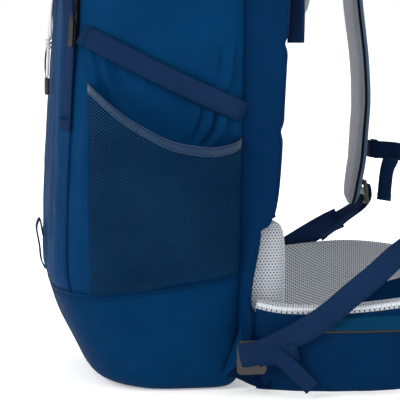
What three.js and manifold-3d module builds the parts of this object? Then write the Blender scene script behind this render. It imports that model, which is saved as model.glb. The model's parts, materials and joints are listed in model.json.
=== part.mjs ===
// A top-loading hiking pack: a sewn bag on a frame sheet with two stays, a floating lid,
// mesh side pockets, a padded back, a shoulder harness and a hip belt.
// Millimetres, +Z up. The bag's front looks along -Y and the wearer stands on the +Y side.
// The origin is the middle of the flat floor of the base.
import * as THREE from "three";
import { mergeVertices } from "three/addons/utils/BufferGeometryUtils.js";
import Module from "manifold-3d";

const wasm = await Module();
wasm.setup();

// ---- driving dimensions ----
const BAG_TOP = 560;
const WALL = 3;
const GAP = 0.4;
const FRONT_ROUNDNESS = 3.4;
const REAR_ROUNDNESS = 9;
const FRONT_TAPER = 0.1;
const BASE_LIFT = 3;
// Angles of the seams between the panels, round the bag from its right side.
const ZIP_ANGLE = -47;
const REAR_ANGLE = 46;
const SEAM_MARGIN = 0.35;
const HIP_WEBBING = 25;
const SLIM_WEBBING = 20;
const WEBBING_THICK = 1.6;
const SIDES = { right: 1, left: -1 };
const COLLAR = { bottom: BAG_TOP + GAP, top: 612, drawnIn: 0.82, cordZ: 603 };
const BACK = { bottom: 176, top: 556, halfWidth: 137, channel: 6 };
const LUMBAR = { bottom: 18, top: 170, halfWidth: 128, thick: 48 };
const POCKET = {
  frontY: -70, rearY: 82, bulge: 36, thick: 1.2,
  hem: [[-70, 312], [-55, 297], [-40, 284], [-28, 276], [4, 259], [29, 253], [52, 251], [71, 254], [82, 258]],
};
const LID = { middleY: 17, halfDepth: 126, halfWidth: 142 };
const LID_HINGE = { y: 146, z: 548 };
const LID_STRAP = { x: 72, tailX: 101 };
const ACCESS = { bottom: 352, top: 542, standOff: 3.4, sliderUp: 24 };
const TOOL = { loopX: 0, cordX: 10, cordDiameter: 3.4 };
const YOKE = { bottom: 378, top: 478, halfWidth: 80, thick: 36 };
const STRAP = { width: 60, thick: 14, rightAhead: 17 };
const STERNUM = { y: 298, z: 227 };
// The lower shoulder webbing lies over the hip wing, then rises free to its lock on the strap.
const LOWER_ROUTE = {
  right: [[174, 121, 58], [179, 144, 71], [182, 165, 86], [183.5, 185, 103], [183, 210, 123], [178, 236, 144],
    [160, 258, 152]],
  left: [[174, 121, 60], [180, 145, 80], [181, 170, 95], [181, 194, 108], [174, 215, 122], [158, 236, 137],
    [146, 246, 144]],
};
// Over the shoulder from the yoke, down the strap to its tip, and the lifter from strap to bag.
const ARCH_ROUTE = [
  [58, 148, 444], [60, 151, 476], [64, 166, 499], [70, 190, 508], [76, 214, 501], [81, 230, 486],
  [84.4, 237.6, 473.5],
];
const SHOULDER_ROUTE = [
  [85.1, 239, 470.5], [93, 245.5, 440], [104, 250, 398], [115, 260.5, 332], [119, 264, 284],
  [120, 262, 246], [120, 260, 215], [120, 255, 182], [120, 254, 164],
];
const LIFTER_ROUTE = [
  [83.5, 248.2, 482], [83, 246.5, 491], [82.5, 240, 500], [84, 160, 541], [87, 149, 544],
  [91, 145.4, 536], [100, 145, 500], [108, 144.5, 440], [111, 142.5, 352],
];
const HAUL = { y: 152, z: 534, width: 38 };
const BELT = {
  thick: 14, buckleY: 374, buckleZ: 66,
  top: {
    right: [[0, 94], [0.12, 90], [0.35, 91], [0.6, 97], [0.85, 103], [1, 100]],
    left: [[0, 98], [0.2, 104], [0.35, 109], [0.6, 115], [0.8, 111], [1, 102]],
  },
};

const lerp = THREE.MathUtils.lerp;
const radians = THREE.MathUtils.degToRad;
const backFaceY = (z) => 115.4 + 0.05 * z;

const colours = {
  shell: 0x0d3f6d, base: 0x10385f, webbing: 0x22325a, mesh: 0x1c3a60, spacer: 0xb9bdc3,
  plastic: 0x26252a, cord: 0xd8d6da, alloy: 0xa9adb2, sheet: 0x1b1c1f,
};
const finish = (name, roughness = 0.8, metalness = 0) =>
  new THREE.MeshStandardMaterial({ color: colours[name], roughness, metalness });
const materials = {
  shell: finish("shell"), base: finish("base"), webbing: finish("webbing"), mesh: finish("mesh"),
  spacer: finish("spacer", 0.9), plastic: finish("plastic", 0.5), cord: finish("cord", 0.9),
  alloy: finish("alloy", 0.35, 1), sheet: finish("sheet", 0.6),
};

const daypack = new THREE.Group();

function add(name, geometry, material) {
  const mesh = new THREE.Mesh(facingOut(geometry), materials[material]);
  mesh.name = name;
  daypack.add(mesh);
  return mesh;
}

// ---- making closed geometry ----

// A box of the given segments whose vertices are moved by place(u, v, w), each from 0 to 1.
function bentBox(segments, place) {
  const box = new THREE.BoxGeometry(1, 1, 1, ...segments);
  const position = box.getAttribute("position");
  const corner = new THREE.Vector3();
  for (let i = 0; i < position.count; i++) {
    corner.fromBufferAttribute(position, i).addScalar(0.5);
    const moved = place(corner.x, corner.y, corner.z);
    position.setXYZ(i, moved.x, moved.y, moved.z);
  }
  return box;
}

// The bare solid of a geometry, with its faces turned round if they look inwards.
function facingOut(geometry) {
  const solid = positionsOnly(geometry);
  const position = solid.getAttribute("position");
  const index = solid.index.array;
  const [a, b, c] = [0, 1, 2].map(() => new THREE.Vector3());
  let volume = 0;
  for (let i = 0; i < index.length; i += 3) {
    a.fromBufferAttribute(position, index[i]);
    b.fromBufferAttribute(position, index[i + 1]);
    c.fromBufferAttribute(position, index[i + 2]);
    volume += a.dot(b.cross(c));
  }
  if (volume < 0)
    for (let i = 0; i < index.length; i += 3) [index[i + 1], index[i + 2]] = [index[i + 2], index[i + 1]];
  return solid;
}

function positionsOnly(geometry) {
  const bare = geometry.clone();
  for (const name of ["normal", "uv"]) bare.deleteAttribute(name);
  bare.clearGroups();
  return mergeVertices(bare, 1e-3);
}

function solidOf(geometry) {
  const bare = facingOut(geometry);
  return new wasm.Manifold(new wasm.Mesh({
    numProp: 3,
    vertProperties: bare.getAttribute("position").array,
    triVerts: new Uint32Array(bare.index.array),
  }));
}

function geometryOf(solid) {
  const mesh = solid.getMesh();
  const geometry = new THREE.BufferGeometry();
  geometry.setAttribute("position", new THREE.BufferAttribute(mesh.vertProperties, 3));
  geometry.setIndex(new THREE.BufferAttribute(mesh.triVerts, 1));
  return geometry;
}

// first with every geometry of others cut away from it.
const cut = (first, ...others) =>
  geometryOf(others.reduce((solid, other) => solid.subtract(solidOf(other)), solidOf(first)));
const join = (first, ...others) =>
  geometryOf(others.reduce((solid, other) => solid.add(solidOf(other)), solidOf(first)));

const block = (width, depth, height, x = 0, y = 0, z = 0) =>
  new THREE.BoxGeometry(width, depth, height).translate(x, y, z);

// A plate with rounded corners, in X and Z, of the given thickness along Y.
function plate(width, height, thickness, radius) {
  const shape = new THREE.Shape();
  const [x, z] = [width / 2, height / 2];
  shape.moveTo(-x + radius, -z);
  shape.lineTo(x - radius, -z);
  shape.absarc(x - radius, -z + radius, radius, -Math.PI / 2, 0);
  shape.absarc(x - radius, z - radius, radius, 0, Math.PI / 2);
  shape.absarc(-x + radius, z - radius, radius, Math.PI / 2, Math.PI);
  shape.absarc(-x + radius, -z + radius, radius, Math.PI, 1.5 * Math.PI);
  const settings = { depth: thickness, bevelEnabled: false, curveSegments: 2 };
  const made = new THREE.ExtrudeGeometry(shape, settings);
  return made.translate(0, 0, -thickness / 2).rotateX(Math.PI / 2);
}

// A flat strap along a smooth curve through points; across(u) is its width direction.
function strap(points, across, width, steps, thickness = WEBBING_THICK) {
  const knots = points.map((p) => new THREE.Vector3(...p));
  const curve = new THREE.CatmullRomCurve3(knots, false, "centripetal");
  return bentBox([steps, 1, 1], (u, v, w) => {
    const centre = curve.getPoint(u);
    const along = curve.getTangent(u);
    const side = new THREE.Vector3(...across(u));
    side.addScaledVector(along, -side.dot(along)).normalize();
    const out = new THREE.Vector3().crossVectors(along, side);
    return centre.addScaledVector(side, (v - 0.5) * width).addScaledVector(out, (w - 0.5) * thickness);
  });
}

// A round cord along a smooth curve.
function cord(points, diameter, steps) {
  const section = new THREE.Shape();
  section.absarc(0, 0, diameter / 2, 0, 2 * Math.PI);
  const path = new THREE.CatmullRomCurve3(points.map((p) => new THREE.Vector3(...p)), false, "centripetal");
  const settings = { steps, extrudePath: path, curveSegments: 4, bevelEnabled: false };
  return new THREE.ExtrudeGeometry(section, settings);
}

const mirrored = (geometry, side) => geometry.clone().scale(side, 1, 1);

// ---- the bag's outer skin ----

// A value along the height, through [height, value] pairs in rising order.
function profile(pairs, z) {
  let i = 0;
  while (i < pairs.length - 2 && z > pairs[i + 1][0]) i++;
  const [[z0, a], [z1, b]] = [pairs[i], pairs[i + 1]];
  return lerp(a, b, THREE.MathUtils.clamp((z - z0) / (z1 - z0), 0, 1));
}
const FRONT_LINE = [[0, -60], [95, -102], [160, -107], [290, -101], [396, -93], [BAG_TOP, -86]];
const frontY = (z) => profile(FRONT_LINE, z);
const rearY = (z) => 86 + 0.02 * z;
const middleY = (z) => (frontY(z) + rearY(z)) / 2;
const SIDE_LINE = [[0, 128], [60, 137], [120, 143], [300, 148], [450, 146], [BAG_TOP, 138]];
const halfWidth = (z) => profile(SIDE_LINE, z);

// The skin at an angle round the bag (0 is the right side, 90 the back) and a height, shrunk by inset.
function skin(degrees, z, inset = 0) {
  const [c, s] = [Math.cos(radians(degrees)), Math.sin(radians(degrees))];
  const power = s < 0 ? FRONT_ROUNDNESS : REAR_ROUNDNESS;
  const reach = (Math.abs(c) ** power + Math.abs(s) ** power) ** (-1 / power);
  const halfDepth = (rearY(z) - frontY(z)) / 2 - inset;
  const taper = 1 - FRONT_TAPER * Math.max(0, -s * reach);
  const out = (halfWidth(z) - inset) * reach * c * taper;
  return new THREE.Vector3(out, middleY(z) + halfDepth * reach * s, z);
}

// How far out the skin is at a place on the bag's side.
function sideX(y, z) {
  const share = (y - middleY(z)) / (rearY(z) - middleY(z));
  const power = share < 0 ? FRONT_ROUNDNESS : REAR_ROUNDNESS;
  const across = (1 - Math.min(1, Math.abs(share)) ** power) ** (1 / power);
  return halfWidth(z) * across * (1 - FRONT_TAPER * Math.max(0, -share));
}

// The height of the seam between the base and the panels above it.
const seamHeight = (y) => 99 + 0.155 * Math.max(0, y + 68);

// A sewn panel between two angles, from the base seam to the top of the bag.
function panel(from, to, columns, rows) {
  return bentBox([columns, rows, 1], (u, v, w) => {
    const degrees = lerp(from + SEAM_MARGIN, to - SEAM_MARGIN, u);
    const bottom = seamHeight(skin(degrees, 110).y) + GAP;
    return skin(degrees, lerp(bottom, BAG_TOP, v), WALL * (1 - w));
  });
}

function shellPanels() {
  add("front_panel", panel(-180 - ZIP_ANGLE, ZIP_ANGLE, 12, 6), "shell");
  add("side_panel_right", panel(ZIP_ANGLE, REAR_ANGLE, 8, 6), "shell");
  add("side_panel_left", panel(180 - REAR_ANGLE, 180 - ZIP_ANGLE, 8, 6), "shell");
  add("back_panel", panel(REAR_ANGLE, 180 - REAR_ANGLE, 8, 5), "shell");
}

// The base is a bowl, flat where it stands, with its front edge lifted.
function bowl(inset, floor, rim) {
  const rings = [[0, 0], [0.6, 0], [0.95, 0], [1, 0.12], [1, 0.5], [1, 1], [0, 1]];
  const turned = new THREE.LatheGeometry(rings.map(([x, y]) => new THREE.Vector2(x, y)), 32);
  const position = turned.getAttribute("position");
  for (let i = 0; i < position.count; i++) {
    const [x, h, y] = [position.getX(i), position.getY(i), position.getZ(i)];
    const degrees = THREE.MathUtils.radToDeg(Math.atan2(y, x));
    const share = Math.min(1, Math.hypot(x, y));
    const height = lerp(floor, seamHeight(skin(degrees, 110).y) + rim, h);
    const point = skin(degrees, height, inset);
    const lift = h < 0.4 ? BASE_LIFT * THREE.MathUtils.smoothstep(-point.y * share, 10, 62) : 0;
    position.setXYZ(i, point.x * share, lerp(middleY(height), point.y, share), height + lift);
  }
  return turned;
}
const base = () => add("base_panel", cut(bowl(0, 0, 0), bowl(WALL, WALL, 1)), "base");

// The collar draws in above the bag and stays open for loading.
function collarPoint(degrees, share, z, inset) {
  const drawn = share * lerp(1, COLLAR.drawnIn, ((z - COLLAR.bottom) / (COLLAR.top - COLLAR.bottom)) ** 2);
  const edge = skin(degrees, BAG_TOP, inset + 2);
  return new THREE.Vector3(edge.x * drawn, lerp(middleY(BAG_TOP), edge.y, drawn), z);
}
function collar() {
  const ring = (u, v, w) => collarPoint(360 * u, 1, lerp(COLLAR.bottom, COLLAR.top, v), 2 * (1 - w));
  add("collar", ringOf(32, 3, ring), "shell");
}

// A closed ring: place(u, v, w) goes round in u, up in v and outwards in w.
function ringOf(around, rows, place) {
  const corners = [];
  for (let i = 0; i < around; i++)
    for (let j = 0; j <= rows; j++)
      for (const w of [0, 1]) corners.push(...place(i / around, j / rows, w).toArray());
  const at = (i, j, w) => ((i % around) * (rows + 1) + j) * 2 + w;
  const faces = [];
  const quad = (a, b, c, d) => faces.push(a, b, c, a, c, d);
  for (let i = 0; i < around; i++) {
    for (let j = 0; j < rows; j++) {
      quad(at(i, j, 1), at(i + 1, j, 1), at(i + 1, j + 1, 1), at(i, j + 1, 1));
      quad(at(i + 1, j, 0), at(i, j, 0), at(i, j + 1, 0), at(i + 1, j + 1, 0));
    }
    quad(at(i, rows, 1), at(i + 1, rows, 1), at(i + 1, rows, 0), at(i, rows, 0));
    quad(at(i, 0, 0), at(i + 1, 0, 0), at(i + 1, 0, 1), at(i, 0, 1));
  }
  const geometry = new THREE.BufferGeometry();
  geometry.setAttribute("position", new THREE.Float32BufferAttribute(corners, 3));
  geometry.setIndex(faces);
  return geometry;
}

// The drawcord runs round the collar outside its hem and both ends enter the cord lock at the front.
function drawcord() {
  const steps = 28;
  const route = Array.from({ length: steps + 1 }, (_, i) =>
    collarPoint(lerp(-85.5, 265.5, i / steps), 1, COLLAR.cordZ, -5.5).toArray());
  add("drawcord", cord(route, 3, 44), "cord");
  const y = route[0][1] - 2.6;
  const shell = block(17, 9, 18, 0, y, COLLAR.cordZ + 3);
  const seat = block(10.6, 5.6, 10, 0, y, COLLAR.cordZ + 8);
  const cordHole = block(30, 3.8, 3.8, 0, y + 2.1, COLLAR.cordZ);
  add("cord_lock_body", cut(shell, seat, cordHole), "plastic");
  add("cord_lock_button", block(9.6, 4.6, 10, 0, y, COLLAR.cordZ + 12.2), "plastic");
}

// ---- frame and padded back ----
function frame() {
  const face = (z) => rearY(z) - WALL - 3.4;
  add("frame_sheet", bentBox([1, 6, 1], (u, v, w) => {
    const z = lerp(124, 540, v);
    return new THREE.Vector3(lerp(-112, 112, u), face(z) - 1.5 * (1 - w), z);
  }), "sheet");
  for (const [name, side] of Object.entries(SIDES))
    add(`frame_stay_${name}`, bentBox([1, 6, 1], (u, v, w) => {
      const z = lerp(128, 536, v);
      return new THREE.Vector3(side * 62 + lerp(-11, 11, u), face(z) - 2.6 - 3 * (1 - w), z);
    }), "alloy");
}

// How full a pad is between its edges, across and up both running from -1 to 1.
const padFullness = (across, up, edge) => edge + (1 - edge) * Math.sqrt((1 - across ** 6) * (1 - up ** 6));

function paddedBack() {
  add("back_pad", bentBox([10, 6, 1], (u, v, w) => {
    const across = lerp(-1, 1, u);
    const z = lerp(BACK.bottom, BACK.top, v);
    const hollow = BACK.channel * Math.exp(-((across * 5) ** 2)) + 3 * across ** 8;
    return new THREE.Vector3(across * BACK.halfWidth, lerp(rearY(z) + GAP, backFaceY(z) - hollow, w), z);
  }), "spacer");
  add("lumbar_pad", bentBox([10, 6, 1], (u, v, w) => {
    const z = lerp(LUMBAR.bottom, LUMBAR.top, v);
    const depth = LUMBAR.thick * padFullness(lerp(-1, 1, u), lerp(-1, 1, v), 0.85);
    return new THREE.Vector3(lerp(-1, 1, u) * LUMBAR.halfWidth, rearY(z) + 2 * GAP + depth * w, z);
  }), "spacer");
}

// ---- side pockets and compression straps ----
function pocketPoint(u, v, w) {
  const y = lerp(POCKET.frontY, POCKET.rearY, u);
  const bottom = seamHeight(y) + 1;
  const z = lerp(bottom, profile(POCKET.hem, y), v);
  const rise = THREE.MathUtils.smoothstep(v, -0.35, 0.5) * Math.sin(Math.PI * (0.12 + 0.46 * v));
  const swell = POCKET.bulge * Math.sin(Math.PI * u) ** 0.55 * rise;
  return new THREE.Vector3(sideX(y, z) + GAP + 0.3 + swell + POCKET.thick * w, y, z);
}
function sides() {
  for (const [name, side] of Object.entries(SIDES)) {
    add(`side_pocket_${name}`, mirrored(bentBox([12, 6, 1], pocketPoint), side), "mesh");
    const route = [-76, -68, -58, -40, -10, 25, 55, 78].map((y) => {
      const share = (y + 78) / 161;
      const z = lerp(361, 289, share) - 5 * Math.sin(Math.PI * share);
      return [sideX(y, z) + 3.4, y, z];
    });
    add(`compression_strap_${name}`, mirrored(strap(route, () => [0, 0, 1], 21, 12), side), "webbing");
  }
}

// ---- side-release buckles, lying in X and Z, the male half at +X ----
function buckle(webbing) {
  const [tall, thick, wall, length, tongue, grip] = [webbing + 19, 11, 1.6, 30, 24, 14];
  const hollow = tall / 2 - wall;
  const body = plate(length + 12, tall, thick, 5).translate(-length / 2 - 6, 0, 0);
  const cavity = block(length, thick - 2 * wall, 2 * hollow, -length / 2 + 1, 0, 0);
  const windows = block(13, thick - 2 * wall, tall + 4, -16, 0, 0);
  const slot = block(4, thick + 4, webbing + 2, -length - 6, 0, 0);
  const female = cut(body, cavity, windows, slot);
  const base = plate(grip, tall, 9, 3.5).translate(grip / 2 + 0.6, 0, 0);
  const tunnel = block(grip + 4, 3.4, webbing + 1.4, grip / 2, 0, 0);
  const prongs = [1, -1].map((up) => block(tongue + 2, 3, 4, -tongue / 2 + 1.6, 0, up * (hollow - 3.4)));
  return { female, male: join(cut(base, tunnel), ...prongs) };
}

// ---- lid ----
function lidPoint(reach, degrees, z) {
  const [c, s] = [Math.cos(radians(degrees)), Math.sin(radians(degrees))];
  const square = (c ** 4 + s ** 4) ** -0.25 * reach;
  return new THREE.Vector3(LID.halfWidth * square * c, LID.middleY + LID.halfDepth * square * s, z);
}

// An upside-down bowl: its closed pocket makes the top thick.
function lidShell() {
  const rings = [[0, 640], [0.7, 636], [0.9, 618], [0.94, 591], [0.99, 590], [1.02, 615], [0.97, 645],
    [0.84, 662], [0.5, 669], [0, 670]];
  const turned = new THREE.LatheGeometry(rings.map(([x, y]) => new THREE.Vector2(x, y)), 32);
  const position = turned.getAttribute("position");
  for (let i = 0; i < position.count; i++) {
    const [x, y] = [position.getX(i), position.getZ(i)];
    const degrees = THREE.MathUtils.radToDeg(Math.atan2(y, x));
    position.setXYZ(i, ...lidPoint(Math.hypot(x, y), degrees, position.getY(i)).toArray());
  }
  return turned;
}

function lid() {
  add("lid_shell", lidShell(), "shell");
  const zipY = LID.middleY - LID.halfDepth * 1.02 - 1.4;
  add("lid_zip", block(172, 1.4, 14, 0, zipY, 632), "plastic");
  add("lid_zip_slider", zipSlider(false).translate(-72, zipY - 1, 632), "plastic");
  add("lid_hinge_panel", bentBox([1, 3, 1], (u, v, w) => {
    const z = lerp(LID_HINGE.z + 1, 606, v);
    return new THREE.Vector3(lerp(-92, 92, u), lerp(LID_HINGE.y - 0.5, LID_HINGE.y + 1.2, w) + 2.6 * v, z);
  }), "shell");
  const slim = buckle(SLIM_WEBBING);
  const y = frontY(LID_HINGE.z) - 12;
  for (const [name, side] of Object.entries(SIDES)) {
    const x = side * LID_STRAP.x;
    const stand = (geometry) => geometry.clone().rotateY(-Math.PI / 2).translate(x, y, LID_HINGE.z);
    add(`lid_buckle_male_${name}`, stand(slim.male), "plastic");
    add(`lid_buckle_female_${name}`, stand(slim.female), "plastic");
    const sewn = [[x, y, 551], [x, y, 566], [x, y - 5, 580], [x, -118.5, 598], [x, -120, 618]];
    add(`lid_strap_${name}`, strap(sewn, () => [1, 0, 0], SLIM_WEBBING, 7), "webbing");
    const tailX = side * LID_STRAP.tailX;
    const tail = [[x, y, 503], [x + side * 12, -97, 460], [tailX, -95, 400], [tailX, -94, 340],
      [tailX - side * 2, -97, 264]];
    add(`lid_strap_tail_${name}`, strap(tail, (u) => [1, 0.5 * side * u, 0], SLIM_WEBBING, 9), "webbing");
  }
}

// A zip's slider with its pull hanging down, on a track that faces -Y and runs up or across.
function zipSlider(upright) {
  const rider = upright ? block(9, 1.6, 13, 0, -0.9, 0) : block(13, 1.6, 9, 0, -0.9, 0);
  const bridge = block(3, 3.4, 8, 0, -3, 0);
  const pull = block(6, 1.4, 26, 0, -3.8, -14);
  return join(rider, bridge, pull);
}

// ---- front access zip ----
function accessZip() {
  const [low, high] = [skin(ZIP_ANGLE, ACCESS.bottom), skin(ZIP_ANGLE, ACCESS.top)];
  const outward = new THREE.Vector3(0.62, -0.78, 0).normalize();
  const along = new THREE.Vector3().subVectors(high, low).normalize();
  const across = new THREE.Vector3().crossVectors(along, outward).normalize();
  const basis = new THREE.Matrix4().makeBasis(across, outward.clone().negate(), along);
  const middle = low.clone().add(high).multiplyScalar(0.5).addScaledVector(outward, ACCESS.standOff);
  const place = (geometry, centre) => geometry.applyMatrix4(basis).translate(centre.x, centre.y, centre.z);
  add("access_zip", place(block(16, 1.2, ACCESS.top - ACCESS.bottom), middle), "plastic");
  const start = low.clone().addScaledVector(along, ACCESS.sliderUp);
  start.addScaledVector(outward, ACCESS.standOff + 0.9);
  add("access_zip_slider", place(zipSlider(true), start), "alloy");
}

// ---- front: tool loop and tool cord ----
function frontTrim() {
  const face = (z) => frontY(z) - 1.4;
  const loop = [[0.6, 112], [3.4, 120], [4.6, 136], [7.6, 158], [4.4, 164.5], [2.6, 157], [0.6, 146]];
  const points = loop.map(([out, z]) => [TOOL.loopX, face(z) - out, z]);
  add("tool_loop", strap(points, () => [1, 0, 0], SLIM_WEBBING, 14), "webbing");
  const sway = [0, 1, -1, 0.5, 0];
  const heights = [404, 385, 362, 340, 315];
  const hang = heights.map((z, i) => [TOOL.cordX + sway[i], frontY(z) - 4.5, z]);
  add("tool_cord", cord(hang, TOOL.cordDiameter, 24), "cord");
  const pull = plate(9, 18, 5, 3.5).translate(TOOL.cordX, frontY(305) - 4.5, 305.7);
  add("tool_cord_pull", pull, "plastic");
}

// ---- harness ----
function shoulderYoke() {
  const pad = bentBox([8, 5, 1], (u, v, w) => {
    const z = lerp(YOKE.bottom, YOKE.top, v);
    const depth = YOKE.thick * padFullness(lerp(-1, 1, u), lerp(-1, 1, v), 0.75);
    const across = lerp(-1, 1, u) * YOKE.halfWidth * lerp(0.86, 1, v);
    return new THREE.Vector3(across, backFaceY(z) + GAP + depth * w, z);
  });
  const right = strap(ARCH_ROUTE, () => [1, 0, 0], STRAP.width, 9, STRAP.thick);
  const arches = Object.values(SIDES).map((side) => mirrored(right, side));
  add("shoulder_yoke", join(pad, ...arches), "spacer");
}

function shoulderStraps() {
  for (const [name, side] of Object.entries(SIDES)) {
    const most = side > 0 ? STRAP.rightAhead : 0;
    const ahead = (z) => most * THREE.MathUtils.smoothstep(471 - z, 0, 75);
    const moved = SHOULDER_ROUTE.map(([x, y, z]) => [x, y + ahead(z), z]);
    add(`shoulder_strap_${name}`,
      mirrored(strap(moved, () => [1, 0, 0], STRAP.width, 12, STRAP.thick), side), "spacer");
    const lock = cut(plate(34, 28, 4, 4), block(23, 8, 4, 0, 0, 6), block(23, 8, 4, 0, 0, -6));
    add(`shoulder_lock_${name}`, lock.rotateX(0.12).translate(side * 120, 268.6 + most, 178), "plastic");
    add(`shoulder_webbing_${name}`,
      mirrored(strap(LOWER_ROUTE[name], () => [0.05, -0.5, 1], HIP_WEBBING, 10), side), "webbing");
    const baseLock = cut(plate(30, 34, 4, 5), block(22, 8, 4, 0, 0, 8), block(22, 8, 4, 0, 0, -3));
    add(`base_lock_${name}`, baseLock.rotateZ(Math.PI / 2).translate(side * 170, 88, 41), "plastic");
    const across = (u) => [1, 0.9 * THREE.MathUtils.smoothstep(u, 0.6, 1), 0];
    add(`load_lifter_${name}`,
      mirrored(strap(LIFTER_ROUTE, across, SLIM_WEBBING, 18), side), "webbing");
  }
}

function sternumStrap() {
  const slim = buckle(SLIM_WEBBING);
  const place = (geometry) => geometry.clone().translate(0, STERNUM.y, STERNUM.z);
  add("sternum_buckle_female", place(slim.female), "plastic");
  add("sternum_buckle_male", place(slim.male), "plastic");
  for (const [name, side] of Object.entries(SIDES)) {
    const inner = side > 0 ? 3 : 42.4;
    const ahead = side > 0 ? STRAP.rightAhead : 0;
    const bend = [[84, -2 + 0.1 * ahead], [104, -14 + 0.8 * ahead], [118, -20.5 + ahead]];
    const route = [[inner, 0], [60, 0], ...bend, [140, -21.5 + ahead]];
    const points = route.map(([x, y]) => [side * x, STERNUM.y + y, STERNUM.z]);
    add(`sternum_webbing_${name}`, strap(points, () => [0, 0, 1], SLIM_WEBBING, 9), "webbing");
  }
}

function haulLoop() {
  const half = HAUL.width / 2;
  const rising = [[0, -45], [half * 0.75, -38], [half, -24], [half, 0]];
  const route = [...rising.slice(1).reverse().map(([out, up]) => [-out, up]), ...rising];
  const points = route.map(([x, z]) => [x, HAUL.y, HAUL.z + z]);
  add("haul_loop", strap(points, () => [0, 1, 0], 16, 14), "webbing");
}

// ---- hip belt ----
function wingPath(side) {
  const points = [[143, 98], [159, 136], [167, 180], [168, 226], [160, 275], [138, 320], [104, 350]];
  const knots = points.map(([x, y]) => new THREE.Vector3(side * x, y, 0));
  return new THREE.CatmullRomCurve3(knots, false, "centripetal");
}
function hipBelt() {
  const wide = buckle(HIP_WEBBING);
  const place = (geometry) => geometry.clone().translate(0, BELT.buckleY, BELT.buckleZ);
  for (const [name, side] of Object.entries(SIDES)) {
    const path = wingPath(side);
    const top = profileOf(BELT.top[name]);
    const wing = bentBox([12, 4, 1], (u, v, w) => {
      const along = path.getTangent(u);
      const outward = new THREE.Vector3(side * along.y, -side * along.x, 0);
      const low = lerp(5, 30, THREE.MathUtils.smoothstep(u, 0.5, 1));
      const thinned = lerp(1, 0.6, THREE.MathUtils.smoothstep(u, 0.8, 1));
      const thick = BELT.thick * padFullness(0, lerp(-1, 1, v), 0.45) * thinned;
      return path.getPoint(u).addScaledVector(outward, (w - 0.5) * thick).setZ(lerp(low, top(u), v));
    });
    add(`hip_wing_${name}`, wing, "shell");
    const inner = side > 0 ? 3 : 42.4;
    const route = [[inner, 0], [58, 0], [84, -3], [110, -16], [126, -31]];
    const points = route.map(([x, y]) => [side * x, BELT.buckleY + y, BELT.buckleZ]);
    add(`hip_webbing_${name}`, strap(points, () => [0, 0, 1], HIP_WEBBING, 9), "webbing");
  }
  add("hip_buckle_female", place(wide.female), "plastic");
  add("hip_buckle_male", place(wide.male), "plastic");
  const zip = bentBox([4, 1, 1], (u, v, w) =>
    new THREE.Vector3(lerp(176.4, 177.8, w), lerp(164, 262, u), lerp(63, 75, v)));
  add("hip_zip_right", zip, "webbing");
  add("hip_zip_slider_right", zipSlider(false).rotateZ(Math.PI / 2).translate(178.2, 250, 69), "plastic");
}
const profileOf = (pairs) => (u) => profile(pairs, u);

shellPanels();
base();
collar();
drawcord();
frame();
paddedBack();
sides();
lid();
accessZip();
frontTrim();
shoulderYoke();
shoulderStraps();
sternumStrap();
haulLoop();
hipBelt();

export default daypack;
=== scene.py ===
"""A top-loading hiking pack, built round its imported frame: sewn nylon, mesh, foam, webbing and buckles."""

import json
import math

import bmesh
import bpy
import numpy as np
from mathutils import Matrix, Vector, noise

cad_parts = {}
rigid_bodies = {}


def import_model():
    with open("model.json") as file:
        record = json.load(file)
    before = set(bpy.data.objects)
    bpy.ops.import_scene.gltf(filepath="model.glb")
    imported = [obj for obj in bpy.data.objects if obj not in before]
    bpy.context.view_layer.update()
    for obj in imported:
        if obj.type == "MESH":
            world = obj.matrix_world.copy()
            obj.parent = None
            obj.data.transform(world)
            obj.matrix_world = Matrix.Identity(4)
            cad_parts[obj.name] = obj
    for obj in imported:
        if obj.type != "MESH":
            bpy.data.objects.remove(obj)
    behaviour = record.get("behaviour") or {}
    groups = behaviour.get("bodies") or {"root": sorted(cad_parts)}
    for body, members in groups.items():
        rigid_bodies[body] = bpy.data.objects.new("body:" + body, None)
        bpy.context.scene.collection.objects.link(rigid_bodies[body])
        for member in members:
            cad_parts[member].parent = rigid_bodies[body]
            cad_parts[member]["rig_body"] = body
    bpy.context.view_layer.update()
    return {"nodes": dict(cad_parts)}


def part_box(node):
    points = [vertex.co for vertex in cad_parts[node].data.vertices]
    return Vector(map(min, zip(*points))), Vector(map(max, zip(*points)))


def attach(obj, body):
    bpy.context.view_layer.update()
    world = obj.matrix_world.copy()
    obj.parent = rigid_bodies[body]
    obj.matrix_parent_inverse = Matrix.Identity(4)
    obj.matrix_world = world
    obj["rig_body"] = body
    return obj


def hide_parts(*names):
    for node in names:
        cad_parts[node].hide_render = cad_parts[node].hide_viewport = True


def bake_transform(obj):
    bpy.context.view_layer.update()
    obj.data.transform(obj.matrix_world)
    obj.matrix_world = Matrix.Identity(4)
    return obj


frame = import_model()
scene = bpy.context.scene

# ---------------------------------------------------------------------------------------------
# Camera, light and floor. The camera stands level with the bag's lower half, almost square to
# its right side, and a pale floor and three soft lights stand for a plain studio.
# ---------------------------------------------------------------------------------------------

camera_data = bpy.data.cameras.new("camera")
camera_data.lens = 158.4
camera_data.sensor_width = 36
camera_data.clip_end = 200
camera = bpy.data.objects.new("camera", camera_data)
scene.collection.objects.link(camera)
scene.camera = camera
aim = Vector((0, 0.060, 0.182))
azimuth = math.radians(82)
elevation = math.radians(5.7)
level = math.cos(elevation)
away = Vector((math.sin(azimuth) * level, -math.cos(azimuth) * level, math.sin(elevation)))
camera.location = aim + 1.9 * away
camera.rotation_euler = away.to_track_quat("Z", "Y").to_euler()

world = bpy.data.worlds.new("studio")
scene.world = world
world.use_nodes = True
world.node_tree.nodes["Background"].inputs["Color"].default_value = (1, 1, 1, 1)
world.node_tree.nodes["Background"].inputs["Strength"].default_value = 1.0
scene.view_settings.view_transform = "Standard"


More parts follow.
